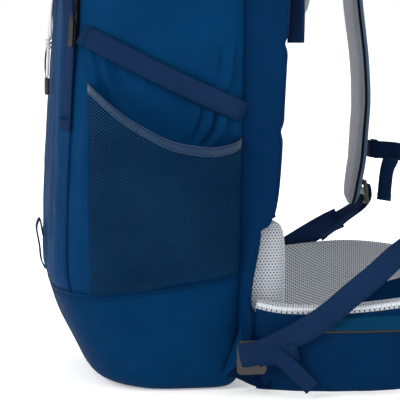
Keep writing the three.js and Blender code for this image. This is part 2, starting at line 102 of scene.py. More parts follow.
def soft_light(name, place, size, watts):
    data = bpy.data.lights.new(name, "AREA")
    data.size = size
    data.energy = watts
    lamp = bpy.data.objects.new(name, data)
    lamp.location = place
    lamp.rotation_euler = (Vector(place) - aim).to_track_quat("Z", "Y").to_euler()
    scene.collection.objects.link(lamp)


soft_light("key_light", (1.9, -2.4, 1.9), 1.0, 52)
soft_light("fill_light", (2.6, 1.8, 0.9), 1.6, 5)
soft_light("rim_light", (-1.8, 1.2, 1.8), 1.4, 26)


def wire(tree, kind, inputs=(), **settings):
    """Adds a node, with its settings and its inputs as values or as sockets to link from."""
    made = tree.nodes.new(kind)
    for key, value in settings.items():
        setattr(made, key, value)
    for key, value in dict(inputs).items():
        if isinstance(value, bpy.types.NodeSocket):
            tree.links.new(value, made.inputs[key])
        else:
            made.inputs[key].default_value = value
    return made


def new_material(name):
    """A material with nodes, and its Principled shader."""
    material = bpy.data.materials.new(name)
    material.use_nodes = True
    return material, material.node_tree, material.node_tree.nodes["Principled BSDF"]


def rgb(red, green, blue):
    """A colour given in 0 to 255 display values, as the linear colour that shaders use."""
    return tuple((c / 255) ** 2.2 for c in (red, green, blue)) + (1,)


floor_material, _, floor_shader = new_material("studio_floor")
floor_shader.inputs["Base Color"].default_value = (0.92, 0.92, 0.92, 1)
floor_shader.inputs["Roughness"].default_value = 0.9
floor_shader.inputs["Emission Color"].default_value = (1, 1, 1, 1)
floor_shader.inputs["Emission Strength"].default_value = 0.36
bpy.ops.mesh.primitive_plane_add(size=160, location=(0, 0, -0.0005))
studio_floor = bpy.context.object
studio_floor.name = "studio_floor"
studio_floor.data.materials.append(floor_material)

# ---------------------------------------------------------------------------------------------
# Tool cord: a white braided cord that hangs from a tab high on the front and holds a tool's
# shaft. A knot ties in a second strand and a thin black lace, and its end has a moulded pull.
# ---------------------------------------------------------------------------------------------

MM = 0.001


def centripetal(points, steps):
    """Steps + 1 points and unit tangents along a smooth curve through points."""
    knots = [Vector(p) for p in points]
    knots = [knots[0] * 2 - knots[1], *knots, knots[-1] * 2 - knots[-2]]
    places = []
    for i in range(steps + 1):
        at = i / steps * (len(points) - 1)
        k = min(int(at), len(points) - 2)
        t = at - k
        p0, p1, p2, p3 = knots[k:k + 4]
        spans = ((p0, p1), (p1, p2), (p2, p3))
        d0, d1, d2 = (max((b - a).length ** 0.5, 1e-6) for a, b in spans)
        start = ((p1 - p0) / d0 - (p2 - p0) / (d0 + d1) + (p2 - p1) / d1) * d1
        end = ((p2 - p1) / d1 - (p3 - p1) / (d1 + d2) + (p3 - p2) / d2) * d1
        bend = 2 * (p1 - p2) + start + end
        lean = 3 * (p2 - p1) - 2 * start - end
        places.append(p1 + start * t + lean * t * t + bend * t ** 3)
    tangents = [(places[min(i + 1, steps)] - places[max(i - 1, 0)]).normalized()
                for i in range(steps + 1)]
    return places, tangents


def mesh_piece(name, vertices, faces, material):
    """A piece from bare vertices in metres and faces."""
    mesh = bpy.data.meshes.new(name)
    mesh.from_pydata(vertices, [], faces)
    piece = bpy.data.objects.new(name, mesh)
    scene.collection.objects.link(piece)
    mesh.materials.append(material)
    return piece


def grid_piece(name, rows, material, closed_round=False):
    """A mesh piece from rows of points in millimetres, with its map coordinates in metres."""
    points = np.array([[tuple(p) for p in row] for row in rows]) * MM
    down, across = points.shape[:2]
    span = across if closed_round else across - 1
    corners = ((0, 0), (0, 1), (1, 1), (1, 0))
    faces = [tuple((i + a) * across + (j + b) % across for a, b in corners)
             for i in range(down - 1) for j in range(span)]
    piece = mesh_piece(name, points.reshape(-1, 3).tolist(), faces, material)
    ring = np.concatenate([points, points[:, :1]], axis=1) if closed_round else points
    along = np.concatenate([[0], np.cumsum(np.linalg.norm(np.diff(ring, axis=1), axis=2).mean(0))])
    up = np.concatenate([[0], np.cumsum(np.linalg.norm(np.diff(points, axis=0), axis=2).mean(1))])
    coordinates = []
    for i in range(down - 1):
        for j in range(span):
            for a, b in corners:
                coordinates += [along[j + b], up[i + a]]
    piece.data.uv_layers.new(name="UVMap").data.foreach_set("uv", coordinates)
    piece.data.shade_smooth()
    return piece


def apply_modifiers(piece):
    """Leaves the piece as the plain mesh that its modifiers make."""
    evaluated = piece.evaluated_get(bpy.context.evaluated_depsgraph_get())
    final = bpy.data.meshes.new_from_object(evaluated)
    piece.modifiers.clear()
    piece.data = final
    return piece


def thicken(piece, thickness):
    """Gives cloth its thickness inwards from its drawn face."""
    solid = piece.modifiers.new("cloth", "SOLIDIFY")
    solid.thickness = thickness
    solid.offset = -1
    return apply_modifiers(piece)


def tube_piece(name, points, radius, material, steps, sides=12):
    """A round cord through points in millimetres, with rounded ends."""
    places, tangents = centripetal(points, steps)
    rows = []
    turned = tangents[0].orthogonal().normalized()
    for i, (place, along) in enumerate(zip(places, tangents)):
        turned = (turned - along * turned.dot(along)).normalized()
        other = along.cross(turned)
        size = radius * (0.55 if i in (0, steps) else 1)
        angles = [2 * math.pi * k / sides for k in range(sides)]
        rows.append([place + size * (turned * math.cos(a) + other * math.sin(a)) for a in angles])
    for row, place in ((rows[0], places[0]), (rows[-1], places[-1])):
        rows.insert(0 if row is rows[0] else len(rows), [place + 0.01 * (p - place) for p in row])
    return grid_piece(name, rows, material, closed_round=True)


def value_group(name, numbers, outputs):
    """A shader node group with a map coordinate and named numbers in, and named values out."""
    tree = bpy.data.node_groups.new(name, "ShaderNodeTree")
    tree.interface.new_socket("Map", in_out="INPUT", socket_type="NodeSocketVector")
    for label, usual in numbers.items():
        socket = tree.interface.new_socket(label, in_out="INPUT", socket_type="NodeSocketFloat")
        socket.default_value = usual
    for label in outputs:
        tree.interface.new_socket(label, in_out="OUTPUT", socket_type="NodeSocketFloat")
    given = tree.nodes.new("NodeGroupInput").outputs
    result = tree.nodes.new("NodeGroupOutput").inputs
    return tree, given, result


def calculate(tree, operation, first, second=0.0):
    """One sum of two numbers or sockets."""
    return wire(tree, "ShaderNodeMath", {0: first, 1: second}, operation=operation).outputs[0]


def cloth_drift():
    """Slow patches and fine mottle of dye over cloth, and the small crumples in it."""
    tree, given, result = value_group("cloth_drift", {"Patch": 9, "Crumple": 40},
                                      ["Patches", "Crumples"])
    slow = wire(tree, "ShaderNodeTexNoise", {"Vector": given["Map"], "Scale": given["Patch"],
                                             "Detail": 3})
    fine = wire(tree, "ShaderNodeTexNoise", {"Vector": given["Map"], "Scale": given["Crumple"], "Detail": 4,
                                             "Distortion": 0.6})
    tree.links.new(slow.outputs[0], result["Patches"])
    tree.links.new(fine.outputs[0], result["Crumples"])
    return tree


def plain_weave():
    """Threads that pass over and under each other, in a given number to the metre each way."""
    tree, given, result = value_group("plain_weave", {"Warp": 1400, "Weft": 1400}, ["Height", "Gap"])
    parts = wire(tree, "ShaderNodeSeparateXYZ", {"Vector": given["Map"]}).outputs
    rounded = []
    cells = []
    for side, count in (("X", "Warp"), ("Y", "Weft")):
        threads = calculate(tree, "MULTIPLY", parts[side], given[count])
        cells.append(calculate(tree, "FLOOR", threads))
        fold = calculate(tree, "PINGPONG", threads, 0.5)
        rounded.append(calculate(tree, "SINE", calculate(tree, "MULTIPLY", fold, math.pi)))
    parity = calculate(tree, "PINGPONG", calculate(tree, "ADD", *cells), 1)
    over = calculate(tree, "MULTIPLY", rounded[0], parity)
    under = calculate(tree, "MULTIPLY", rounded[1], calculate(tree, "SUBTRACT", 1.0, parity))
    height = calculate(tree, "ADD", over, under)
    gap = calculate(tree, "MINIMUM", rounded[0], rounded[1])
    tree.links.new(height, result["Height"])
    tree.links.new(gap, result["Gap"])
    return tree


weave_group = plain_weave()
drift_group = cloth_drift()
# Where a mix node keeps its two colours and its mixed colour.
COLOUR_A, COLOUR_B, COLOUR_MIXED = 6, 7, 2


def woven(name, dark, light, threads, roughness, bump=0.25, crumple=0.35):
    """A woven cloth: two shades of its dye, its threads with painted shade between them, and its small crumples."""
    material, tree, shader = new_material(name)
    place = wire(tree, "ShaderNodeTexCoord").outputs["UV"]
    weave = wire(tree, "ShaderNodeGroup", node_tree=weave_group)
    tree.links.new(place, weave.inputs["Map"])
    weave.inputs["Warp"].default_value, weave.inputs["Weft"].default_value = threads
    drift = wire(tree, "ShaderNodeGroup", node_tree=drift_group)
    tree.links.new(place, drift.inputs["Map"])
    shades = wire(tree, "ShaderNodeValToRGB", {"Fac": drift.outputs["Patches"]})
    low_stop, high_stop = shades.color_ramp.elements
    low_stop.position, high_stop.position = 0.3, 0.72
    low_stop.color, high_stop.color = dark, light
    # Painted shade between the threads and a faint painted highlight on their crowns: the colour follows the weave's
    # relief.
    lit = wire(tree, "ShaderNodeMapRange", {"Value": weave.outputs["Gap"], "To Min": 0.82, "To Max": 1.06})
    colour = wire(tree, "ShaderNodeMix", data_type="RGBA", blend_type="MULTIPLY",
                  inputs={"Factor": 1.0, COLOUR_A: shades.outputs["Color"], COLOUR_B: lit.outputs[0]})
    tree.links.new(colour.outputs[COLOUR_MIXED], shader.inputs["Base Color"])
    crumples = wire(tree, "ShaderNodeBump", {"Height": drift.outputs["Crumples"], "Strength": crumple,
                                             "Distance": 0.004})
    threads_bump = wire(tree, "ShaderNodeBump", {"Height": weave.outputs["Height"], "Strength": bump,
                                                 "Distance": 0.0004, "Normal": crumples.outputs[0]})
    tree.links.new(threads_bump.outputs[0], shader.inputs["Normal"])
    rough = wire(tree, "ShaderNodeMapRange", {"Value": drift.outputs["Crumples"], "To Min": roughness - 0.07,
                                              "To Max": roughness + 0.07})
    tree.links.new(rough.outputs[0], shader.inputs["Roughness"])
    shader.inputs["Specular IOR Level"].default_value = 0.025
    return material


white_cord = woven("white_cord", rgb(196, 197, 202), rgb(226, 226, 228), (900, 900), 0.8)
black_cord = woven("black_cord", rgb(24, 24, 28), rgb(40, 40, 46), (900, 900), 0.75)


def moulded_plastic(name, colour, roughness):
    """Satin nylon mouldings, with a fine sparked grain and slightly rubbed high spots."""
    material, tree, shader = new_material(name)
    place = wire(tree, "ShaderNodeTexCoord").outputs["Object"]
    grain = wire(tree, "ShaderNodeTexNoise", {"Vector": place, "Scale": 2600, "Detail": 2})
    cloud = wire(tree, "ShaderNodeTexNoise", {"Vector": place, "Scale": 90, "Detail": 3})
    shades = wire(tree, "ShaderNodeValToRGB", {"Fac": cloud.outputs[0]})
    shades.color_ramp.elements[0].color = colour
    shades.color_ramp.elements[1].color = tuple(min(1, c * 1.7) for c in colour[:3]) + (1,)
    tree.links.new(shades.outputs[0], shader.inputs["Base Color"])
    bump = wire(tree, "ShaderNodeBump", {"Height": grain.outputs[0], "Strength": 0.15,
                                         "Distance": 0.0002})
    tree.links.new(bump.outputs[0], shader.inputs["Normal"])
    rough = wire(tree, "ShaderNodeMapRange", {"Value": cloud.outputs[0], "To Min": roughness - 0.08,
                                              "To Max": roughness + 0.1})
    tree.links.new(rough.outputs[0], shader.inputs["Roughness"])
    return material


dark_plastic = moulded_plastic("dark_plastic", rgb(38, 33, 34), 0.42)


def eased(node_name, name, material, width=0.0007):
    """A moulding with the shape of its CAD solid and eased edges, in that solid's place."""
    source = frame["nodes"][node_name]
    piece = bpy.data.objects.new(name, source.data.copy())
    piece.data.materials.clear()
    piece.data.materials.append(material)
    scene.collection.objects.link(piece)
    work = bmesh.new()
    work.from_mesh(piece.data)
    bmesh.ops.remove_doubles(work, verts=work.verts, dist=1e-6)
    bmesh.ops.dissolve_limit(work, angle_limit=math.radians(2), verts=work.verts,
                             edges=work.edges)
    work.to_mesh(piece.data)
    work.free()
    bevel = piece.modifiers.new("eased", "BEVEL")
    bevel.width = width
    bevel.segments = 3
    bevel.limit_method = "ANGLE"
    bevel.angle_limit = math.radians(28)
    apply_modifiers(piece)
    piece.data.shade_smooth()
    piece.data.set_sharp_from_angle(angle=math.radians(40))
    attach(piece, source["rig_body"])
    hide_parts(node_name)
    return piece


def through(pairs, x):
    """A smooth value at x, through pairs of place and value in rising order."""
    xs, ys = [p[0] for p in pairs], [p[1] for p in pairs]
    k = min(max(np.searchsorted(xs, x) - 1, 0), len(xs) - 2)
    last = len(xs) - 1
    slope = [(ys[min(i + 1, last)] - ys[max(i - 1, 0)]) / (xs[min(i + 1, last)] - xs[max(i - 1, 0)])
             for i in (k, k + 1)]
    width = xs[k + 1] - xs[k]
    t = min(max((x - xs[k]) / width, 0), 1)
    return ((2 * t ** 3 - 3 * t * t + 1) * ys[k] + (t ** 3 - 2 * t * t + t) * width * slope[0]
            + (3 * t * t - 2 * t ** 3) * ys[k + 1] + (t ** 3 - t * t) * width * slope[1])


BAG_TOP = 560


def front_y(z):
    """Where the bag's front face is at a height."""
    return through([(0, -60), (95, -102), (160, -107), (290, -101), (396, -93), (BAG_TOP, -86)], z)


def rear_y(z):
    """Where the bag's rear face is at a height."""
    return 86 + 0.02 * z


TOOL_CORD_X = 10
TOOL_CORD_DIAMETER = 3.4
# The cord's lean to the right, its distance in front of the cloth and its height.
CORD_PLACES = ((0, 4.5, 404), (1, 6.0, 385), (-1, 6.6, 362), (0.5, 5.6, 340), (1.5, 4.8, 315))
cord_route = [(TOOL_CORD_X + lean, front_y(z) - out, z) for lean, out, z in CORD_PLACES]
tool_cord = tube_piece("tool_cord_braid", cord_route, TOOL_CORD_DIAMETER / 2, white_cord, 48)
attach(tool_cord, "pack")
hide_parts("tool_cord")
cord_pull = eased("tool_cord_pull", "tool_cord_grip", dark_plastic, 0.0014)
KNOT_Z = 350
knot_y = front_y(KNOT_Z) - 6.4
knot_line = [(TOOL_CORD_X + 2.4 * math.cos(a), knot_y + 2.2 * math.sin(a), KNOT_Z + 7 - a * 0.72)
             for a in np.linspace(0, 5.6 * math.pi, 30)]
cord_knot = tube_piece("tool_cord_knot", knot_line, 1.5, white_cord, 120)
loop_line = [(TOOL_CORD_X + 6 * out, front_y(z) - 3.4 - 3.4 * out, z)
             for out, z in ((0.1, 404), (0.5, 396), (0.7, 382), (0.5, 366), (0.2, 356))]
cord_loop = tube_piece("tool_cord_loop", loop_line, 1.4, white_cord, 40)
thin_line = [(TOOL_CORD_X, front_y(z) - out, z)
             for out, z in ((6.4, 350), (8.0, 340), (7.6, 326), (5.6, 313))]
cord_thin = tube_piece("tool_cord_lace", thin_line, 0.9, black_cord, 30, 8)
for piece in (cord_knot, cord_loop, cord_thin):
    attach(piece, "pack")

# ---------------------------------------------------------------------------------------------
# Bag panels: four pieces of woven nylon, sewn edge to edge: front, two sides and back. Their
# cloth is drawn in where the compression straps pull and hangs in soft folds elsewhere.
# ---------------------------------------------------------------------------------------------


FRONT_ROUNDNESS = 3.4
REAR_ROUNDNESS = 9
FRONT_TAPER = 0.1


def half_width(z):
    """Half the bag's width at a height."""
    return through([(0, 128), (60, 137), (120, 143), (300, 148), (450, 146), (BAG_TOP, 138)], z)


def skin(degrees, z, out=0.0):
    """The bag's face at an angle round it, 0 at its right side and 90 at its back, and a height."""
    c, s = math.cos(math.radians(degrees)), math.sin(math.radians(degrees))
    power = FRONT_ROUNDNESS if s < 0 else REAR_ROUNDNESS
    reach = (abs(c) ** power + abs(s) ** power) ** (-1 / power)
    middle = (front_y(z) + rear_y(z)) / 2
    taper = 1 - FRONT_TAPER * max(0, -s * reach)
    return Vector(((half_width(z) + out) * reach * c * taper,
                   middle + ((rear_y(z) - front_y(z)) / 2 + out) * reach * s, z))


def seam_height(y):
    """The height of the seam between the base and the panels, which rises to the rear."""
    return 99 + 0.155 * max(0, y + 68)


def crease(y, z, start, end, width, depth):
    """How far a fold from start to end, places in Y and Z, lifts the cloth at a place."""
    (y0, z0), (y1, z1) = start, end
    run = (y1 - y0) ** 2 + (z1 - z0) ** 2
    t = ((y - y0) * (y1 - y0) + (z - z0) * (z1 - z0)) / run
    off = ((y - y0) * (z1 - z0) - (z - z0) * (y1 - y0)) / math.sqrt(run)
    fade = max(0.0, 1 - (2 * t - 1) ** 2) if 0 < t < 1 else 0.0
    return depth * fade * math.exp(-((off / width) ** 2))


# Folds on a side panel, from place to place in Y and Z, with their width and lift.
SIDE_FOLDS = [
    ((-76, 352), (-66, 314), 3.2, -3.6), ((-70, 352), (-58, 312), 3.2, 3.2),
    ((-64, 346), (-54, 292), 3.4, -5.2), ((-56, 346), (-44, 290), 4.2, 3.8),
    ((-44, 338), (-34, 284), 4, -2.4), ((-20, 330), (-10, 280), 5, 1.8),
    ((69, 300), (80, 350), 3.2, -4.4), ((65, 302), (73, 356), 3.4, 3.6),
    ((75, 298), (86, 344), 2.6, -3.4), ((60, 306), (66, 360), 5, -2.8),
    ((80, 296), (88, 380), 3, 2.6), ((30, 318), (52, 372), 8, 2.0),
    ((60, 292), (42, 248), 2.8, -4.6), ((55, 293), (38, 252), 3.0, 3.6),
    ((48, 296), (32, 252), 2.8, -3.8), ((68, 288), (52, 250), 3.4, 3.8),
    ((76, 284), (66, 250), 3.0, -2.6), ((72, 262), (78, 246), 3, -3.0),
    ((-60, 400), (10, 372), 8, 2.2), ((-70, 420), (-50, 500), 7, -2.4),
    ((60, 400), (72, 520), 7, -2.2), ((-30, 430), (30, 470), 12, 2.6),
    ((-60, 520), (40, 500), 9, 2.2), ((20, 400), (66, 384), 7, -2.2),
    ((-74, 290), (-78, 180), 4, 2.2), ((-82, 250), (-86, 130), 4, -1.8),
]


def strap_height(y):
    """The height of the compression strap's middle along the side panel."""
    share = (y + 78) / 161
    return 363 - 79 * share - 3 * math.sin(math.pi * share)


def side_lift(y, z):
    """How far the cloth of a side panel stands off the bag's plain shape."""
    lift = sum(crease(y, z, *fold) for fold in SIDE_FOLDS)
    off = z - strap_height(y)
    drawn = -3.4 * math.exp(-((off / 13) ** 2)) + 2.2 * math.exp(-(((abs(off) - 30) / 16) ** 2))
    return lift + drawn


# Where the panels meet round the bag: the front seams and the rear ones.
ZIP_ANGLE = -47
REAR_ANGLE = 46
SEAM_ANGLES = (ZIP_ANGLE, REAR_ANGLE, 180 - REAR_ANGLE, 180 - ZIP_ANGLE)


def panel_point(degrees, z, out=0.0):
    """A place on the filled cloth: the plain shape with its folds, sag and pulled seams."""
    plain = skin(degrees, z)
    x, y, _ = plain
    turn = math.radians(degrees)
    lift = 1.5 * noise.noise(Vector((x * 0.02, y * 0.02, z * 0.011)))
    lift += 0.7 * noise.noise(Vector((x * 0.05, y * 0.05, z * 0.03 + 7)))
    facing_side = min(1, max(0, abs(math.cos(turn)) - 0.7) / 0.12)
    lift += facing_side * side_lift(y, z)
    if y < 0 and facing_side < 1:
        lift += (1 - facing_side) * 2.6 * noise.noise(Vector((x * 0.045, 3, z * 0.006)))
    seam = min(abs((degrees - angle + 180) % 360 - 180) for angle in SEAM_ANGLES)
    rim = min(1, seam / 4.5) * min(1, (z - seam_height(y)) / 16) * min(1, (BAG_TOP - z) / 16)
    rim = max(0, rim) ** 0.6
    return skin(degrees, z, rim * (lift + 1.4) - 1.4 + out)


def panel_rows(start, end, columns, rows):
    """Rows of places up a panel, between two angles and from the base seam to the top."""
    made = []
    for i in range(rows + 1):
        row = []
        for j in range(columns + 1):
            degrees = start + (end - start) * j / columns
            low = seam_height(skin(degrees, 110).y)
            row.append(panel_point(degrees, low + (BAG_TOP - low) * i / rows))
        made.append(row)
    return made


def surface_run(place, pairs, out=0.35):
    """Points just off a surface, and its outward directions, along a run of its two numbers."""
    points, outs = [], []
    for p, q in pairs:
        here = place(p, q)
        normal = (place(p + 0.3, q) - here).cross(place(p, q + 0.3) - here).normalized()
        points.append(here + out * normal)
        outs.append(normal)
    return points, outs


def stitch_row(name, run, material, pitch=3.6, length=2.5, radius=0.34):
    """A row of thread stitches along a run of points in millimetres, lying on their surface."""
    points, outs = run
    places = np.array([tuple(p) for p in points])
    normals = np.array([tuple(n) for n in outs])
    at = np.concatenate([[0], np.cumsum(np.linalg.norm(np.diff(places, axis=0), axis=1))])
    vertices, faces = [], []
    for k in range(int(at[-1] / pitch)):
        for share, size, sink in ((0, 0.3, -0.3), (0.2, 1, 0), (0.8, 1, 0), (1, 0.3, -0.3)):
            s = (k + 0.15) * pitch + share * length
            centre = np.array([np.interp(s, at, places[:, i]) for i in range(3)])
            ahead = np.array([np.interp(s + 0.5, at, places[:, i]) for i in range(3)]) - centre
            out = np.array([np.interp(s, at, normals[:, i]) for i in range(3)])
            side = np.cross(out, ahead)
            side /= np.linalg.norm(side) + 1e-9
            for c, d in ((1, 0), (0.4, 0.9), (-0.4, 0.9), (-1, 0)):
                off = radius * size * (c * side + d * out) + sink * out * radius
                vertices.append(tuple((centre + off) * MM))
        first = len(vertices) - 16
        for ring in range(3):
            for c in range(4):
                a, b = first + ring * 4 + c, first + ring * 4 + (c + 1) % 4
                faces.append((a, b, b + 4, a + 4))
        faces += [tuple(range(first + 3, first - 1, -1)), tuple(range(first + 12, first + 16))]
    piece = mesh_piece(name, vertices, faces, material)
    piece.data.shade_smooth()
    return piece


def joined(name, pieces):
    """One piece made of several."""
    work = bmesh.new()
    for piece in pieces:
        work.from_mesh(piece.data)
    mesh = bpy.data.meshes.new(name)
    work.to_mesh(mesh)
    work.free()
    mesh.materials.append(pieces[0].data.materials[0])
    for piece in pieces:
        bpy.data.objects.remove(piece)
    whole = bpy.data.objects.new(name, mesh)
    scene.collection.objects.link(whole)
    return whole


def fix(piece, body, slot, *nodes):
    """The piece moves with a body and stands for the CAD nodes named, which it hides. Its slot is not used."""
    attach(piece, body)
    if nodes:
        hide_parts(*nodes)
    return piece


pack_nylon = woven("pack_nylon", rgb(2, 46, 80), rgb(6, 55, 92), (1300, 1300), 0.62)
navy_thread = woven("navy_thread", rgb(8, 42, 76), rgb(16, 54, 92), (2000, 2000), 0.6)
for name, start, end, columns in (
    ("front_panel", -180 - ZIP_ANGLE, ZIP_ANGLE, 90),
    ("side_panel_right", ZIP_ANGLE, REAR_ANGLE, 124),
    ("side_panel_left", 180 - REAR_ANGLE, 180 - ZIP_ANGLE, 124),
    ("back_panel", REAR_ANGLE, 180 - REAR_ANGLE, 50),
):
    cloth = grid_piece(f"{name}_cloth", panel_rows(start, end, columns, 190), pack_nylon)
    thicken(cloth, 0.0012)
    fix(cloth, "pack", "pack_fabric", name)

top_stitch = []
for angle in SEAM_ANGLES:
    for beside in (-1.7, 1.7):
        low = seam_height(skin(angle, 110).y) + 3
        pairs = [(angle + beside, low + (BAG_TOP - low - 2) * k / 120) for k in range(121)]
        top_stitch.append(stitch_row("stitch", surface_run(panel_point, pairs), navy_thread))
fix(joined("panel_topstitch", top_stitch), "pack", "pack_fabric")

# ---------------------------------------------------------------------------------------------
# Seam trim: a folded nylon piping, caught in the four upright seams and standing a little
# proud, thicker at the front than at the rear.
# ---------------------------------------------------------------------------------------------

piping_navy = woven("piping_navy", rgb(8, 42, 76), rgb(14, 52, 88), (1500, 1500), 0.55)
for name, seam, out, radius in (
    ("front_piping_right", ZIP_ANGLE, 0.9, 1.5), ("rear_piping_right", REAR_ANGLE, 0.6, 1.0),
    ("front_piping_left", 180 - ZIP_ANGLE, 0.9, 1.5), ("rear_piping_left", 180 - REAR_ANGLE, 0.6, 1.0),
):
    low = seam_height(skin(seam, 110).y)
    line = [panel_point(seam, low + (BAG_TOP - low) * k / 30, out) for k in range(31)]
    fix(tube_piece(name, line, radius, piping_navy, 90, 10), "pack", "pack_fabric")

# ---------------------------------------------------------------------------------------------
# Base: a bowl of heavier cloth, boxed at its corners, that the bag stands on. Its top edge is
# sewn to the panels and its corners crease where the flat cloth turns up.
# ---------------------------------------------------------------------------------------------

base_nylon = woven("base_nylon", rgb(1, 43, 75), rgb(5, 51, 86), (1000, 1000), 0.66, crumple=0.45)
BASE_CORNER = 15
BASE_FOLDS = [
    ((-58, 8), (-46, 40), 4, 2.6), ((-50, 6), (-30, 34), 4, -2.4), ((-40, 10), (-16, 26), 4, 2.0),
    ((-72, 60), (-66, 96), 5, -1.8), ((60, 10), (84, 46), 5, -2.2), ((66, 60), (84, 22), 5, 2.0),
    ((20, 92), (70, 60), 8, 1.6), ((-60, 84), (10, 74), 8, 1.4), ((-20, 14), (40, 30), 8, -1.4),
]


def base_point(degrees, z, out=0.0):
    """A place on the base's wall, from its rounded foot to the seam."""
    y = skin(degrees, z).y
    foot = BASE_CORNER * (1 - math.sqrt(1 - (1 - z / BASE_CORNER) ** 2)) if z < BASE_CORNER else 0
    raised = 3 * min(1, max(0, (-y - 10) / 52)) * max(0, 1 - z / 30)
    facing_side = min(1, max(0, abs(math.cos(math.radians(degrees))) - 0.7) / 0.12)
    lift = sum(crease(y, z, *fold) for fold in BASE_FOLDS) * facing_side
    lift += 2.0 * noise.noise(Vector((degrees * 0.06, z * 0.02, 3))) * min(1, z / 20)
    rim = min(1, max(0, seam_height(y) - z) / 14) ** 0.6
    place = skin(degrees, z, rim * (lift + 1.4) - 1.4 - foot + out)
    place.z = z + raised
    return place


AROUND = 200
rows = []
for share in (0.01, 0.3, 0.6, 0.8, 0.93):
    row = []
    for j in range(AROUND):
        edge = base_point(360 * j / AROUND, 0)
        row.append(Vector((edge.x * share, 13 + (edge.y - 13) * share, edge.z)))
    rows.append(row)
for k in range(9):
    z = BASE_CORNER * (1 - math.cos(math.pi / 2 * k / 8))
    rows.append([base_point(360 * j / AROUND, z) for j in range(AROUND)])
for k in range(1, 41):
    row = []
    for j in range(AROUND):
        degrees = 360 * j / AROUND
        high = seam_height(skin(degrees, 100).y)
        row.append(base_point(degrees, BASE_CORNER + (high - BASE_CORNER) * k / 40))
    rows.append(row)
base_cloth = thicken(grid_piece("base_cloth", rows, base_nylon, closed_round=True), 0.0014)
fix(base_cloth, "pack", "base_fabric", "base_panel")

base_stitch = []
for beside, place in ((3.4, panel_point), (-3.4, base_point), (-6.6, base_point)):
    pairs = [(d, seam_height(skin(d, 105).y) + beside) for d in np.linspace(0, 360, 361)]
    base_stitch.append(stitch_row("stitch", surface_run(place, pairs), navy_thread))
fix(joined("base_topstitch", base_stitch), "pack", "base_fabric")
seam_line = [panel_point(d, seam_height(skin(d, 105).y), 0.7) for d in np.linspace(0, 360, 121)]
fix(tube_piece("base_piping", seam_line, 1.1, piping_navy, 360, 8), "pack", "base_fabric")

# ---------------------------------------------------------------------------------------------
# Side pockets: stretch mesh knitted with diamond holes, sewn into the side seams and the base
# seam, and hemmed along a slanting mouth with a folded band of the same mesh. A dark sheet
# behind each mesh is painted shade.
# ---------------------------------------------------------------------------------------------

POCKET_FRONT = -70
POCKET_REAR = 82
POCKET_HEM = [(-70, 312), (-55, 297), (-40, 284), (-28, 276), (4, 259), (29, 253), (52, 251),
              (71, 254), (82, 258)]
POCKET_SWELL = 36
HOLE_WIDE = 3.6
HOLE_HIGH = 1.7


def side_x(y, z):
    """How far out the bag's plain side is, at a place in Y and Z."""
    middle = (front_y(z) + rear_y(z)) / 2
    share = min(1, abs((y - middle) / (rear_y(z) - middle)))
    power = FRONT_ROUNDNESS if y < middle else REAR_ROUNDNESS
    taper = 1 - (FRONT_TAPER * share if y < middle else 0)
    return half_width(z) * (1 - share ** power) ** (1 / power) * taper


def smooth_step(x, low, high):
    """A soft step from 0 to 1 as x goes from low to high."""
    t = min(1, max(0, (x - low) / (high - low)))
    return t * t * (3 - 2 * t)


def faced(rows, way):
    """Rows of a sheet in the order that turns its drawn face one way, 1, or the other, -1."""
    return rows if way > 0 else [row[::-1] for row in rows]


def mirror(places, side):
    """Moves places made for the right side to the left one where side is -1."""
    for place in places:
        place.x *= side
    return places


def pocket_place(y, z, out=0.0):
    """A place on the right pocket's mesh, bulging where it is slack."""
    u = min(1, max(0, (y - POCKET_FRONT) / (POCKET_REAR - POCKET_FRONT)))
    low = seam_height(y) + 1
    v = (z - low) / (through(POCKET_HEM, y) - low)
    slack = math.sin(math.pi * u)
    swell = POCKET_SWELL * slack ** 0.55 * smooth_step(v, -0.35, 0.5)
    swell *= math.sin(math.pi * (0.12 + 0.46 * v))
    ripple = 1.6 * noise.noise(Vector((y * 0.03, z * 0.02, 11))) * slack
    ripple += 1.1 * math.sin((y + 0.35 * z) * 0.16) * math.exp(-(((v - 0.9) / 0.25) ** 2)) * slack
    return Vector((side_x(y, z) + 1.0 + swell + ripple + out, y, z))


def spacer_holes():
    """The rows of small round holes knitted in spacer mesh, set as in a honeycomb."""
    tree, given, result = value_group("spacer_holes", {"Wide": 3.3, "High": 2.9, "Radius": 0.3},
                                      ["Hole", "Height"])
    parts = wire(tree, "ShaderNodeSeparateXYZ", {"Vector": given["Map"]}).outputs
    across = calculate(tree, "MULTIPLY", parts["X"], calculate(tree, "DIVIDE", 1000.0, given["Wide"]))
    up = calculate(tree, "MULTIPLY", parts["Y"], calculate(tree, "DIVIDE", 500.0, given["High"]))
    nearest = None
    for shift in (0.0, 0.5):
        x, y = (calculate(tree, "SUBTRACT", calculate(tree, "FRACT", moved), 0.5)
                for moved in (calculate(tree, "ADD", at, shift) for at in (across, up)))
        y = calculate(tree, "MULTIPLY", y, 1.7)
        squares = calculate(tree, "ADD", *(calculate(tree, "MULTIPLY", c, c) for c in (x, y)))
        away = calculate(tree, "SQRT", squares)
        nearest = away if nearest is None else calculate(tree, "MINIMUM", nearest, away)
    edge = calculate(tree, "DIVIDE", calculate(tree, "SUBTRACT", nearest, given["Radius"]), 0.12)
    wall = wire(tree, "ShaderNodeClamp", {"Value": edge}).outputs[0]
    tree.links.new(calculate(tree, "SUBTRACT", 1.0, wall), result["Hole"])
    tree.links.new(wall, result["Height"])
    return tree


spacer_group = spacer_holes()


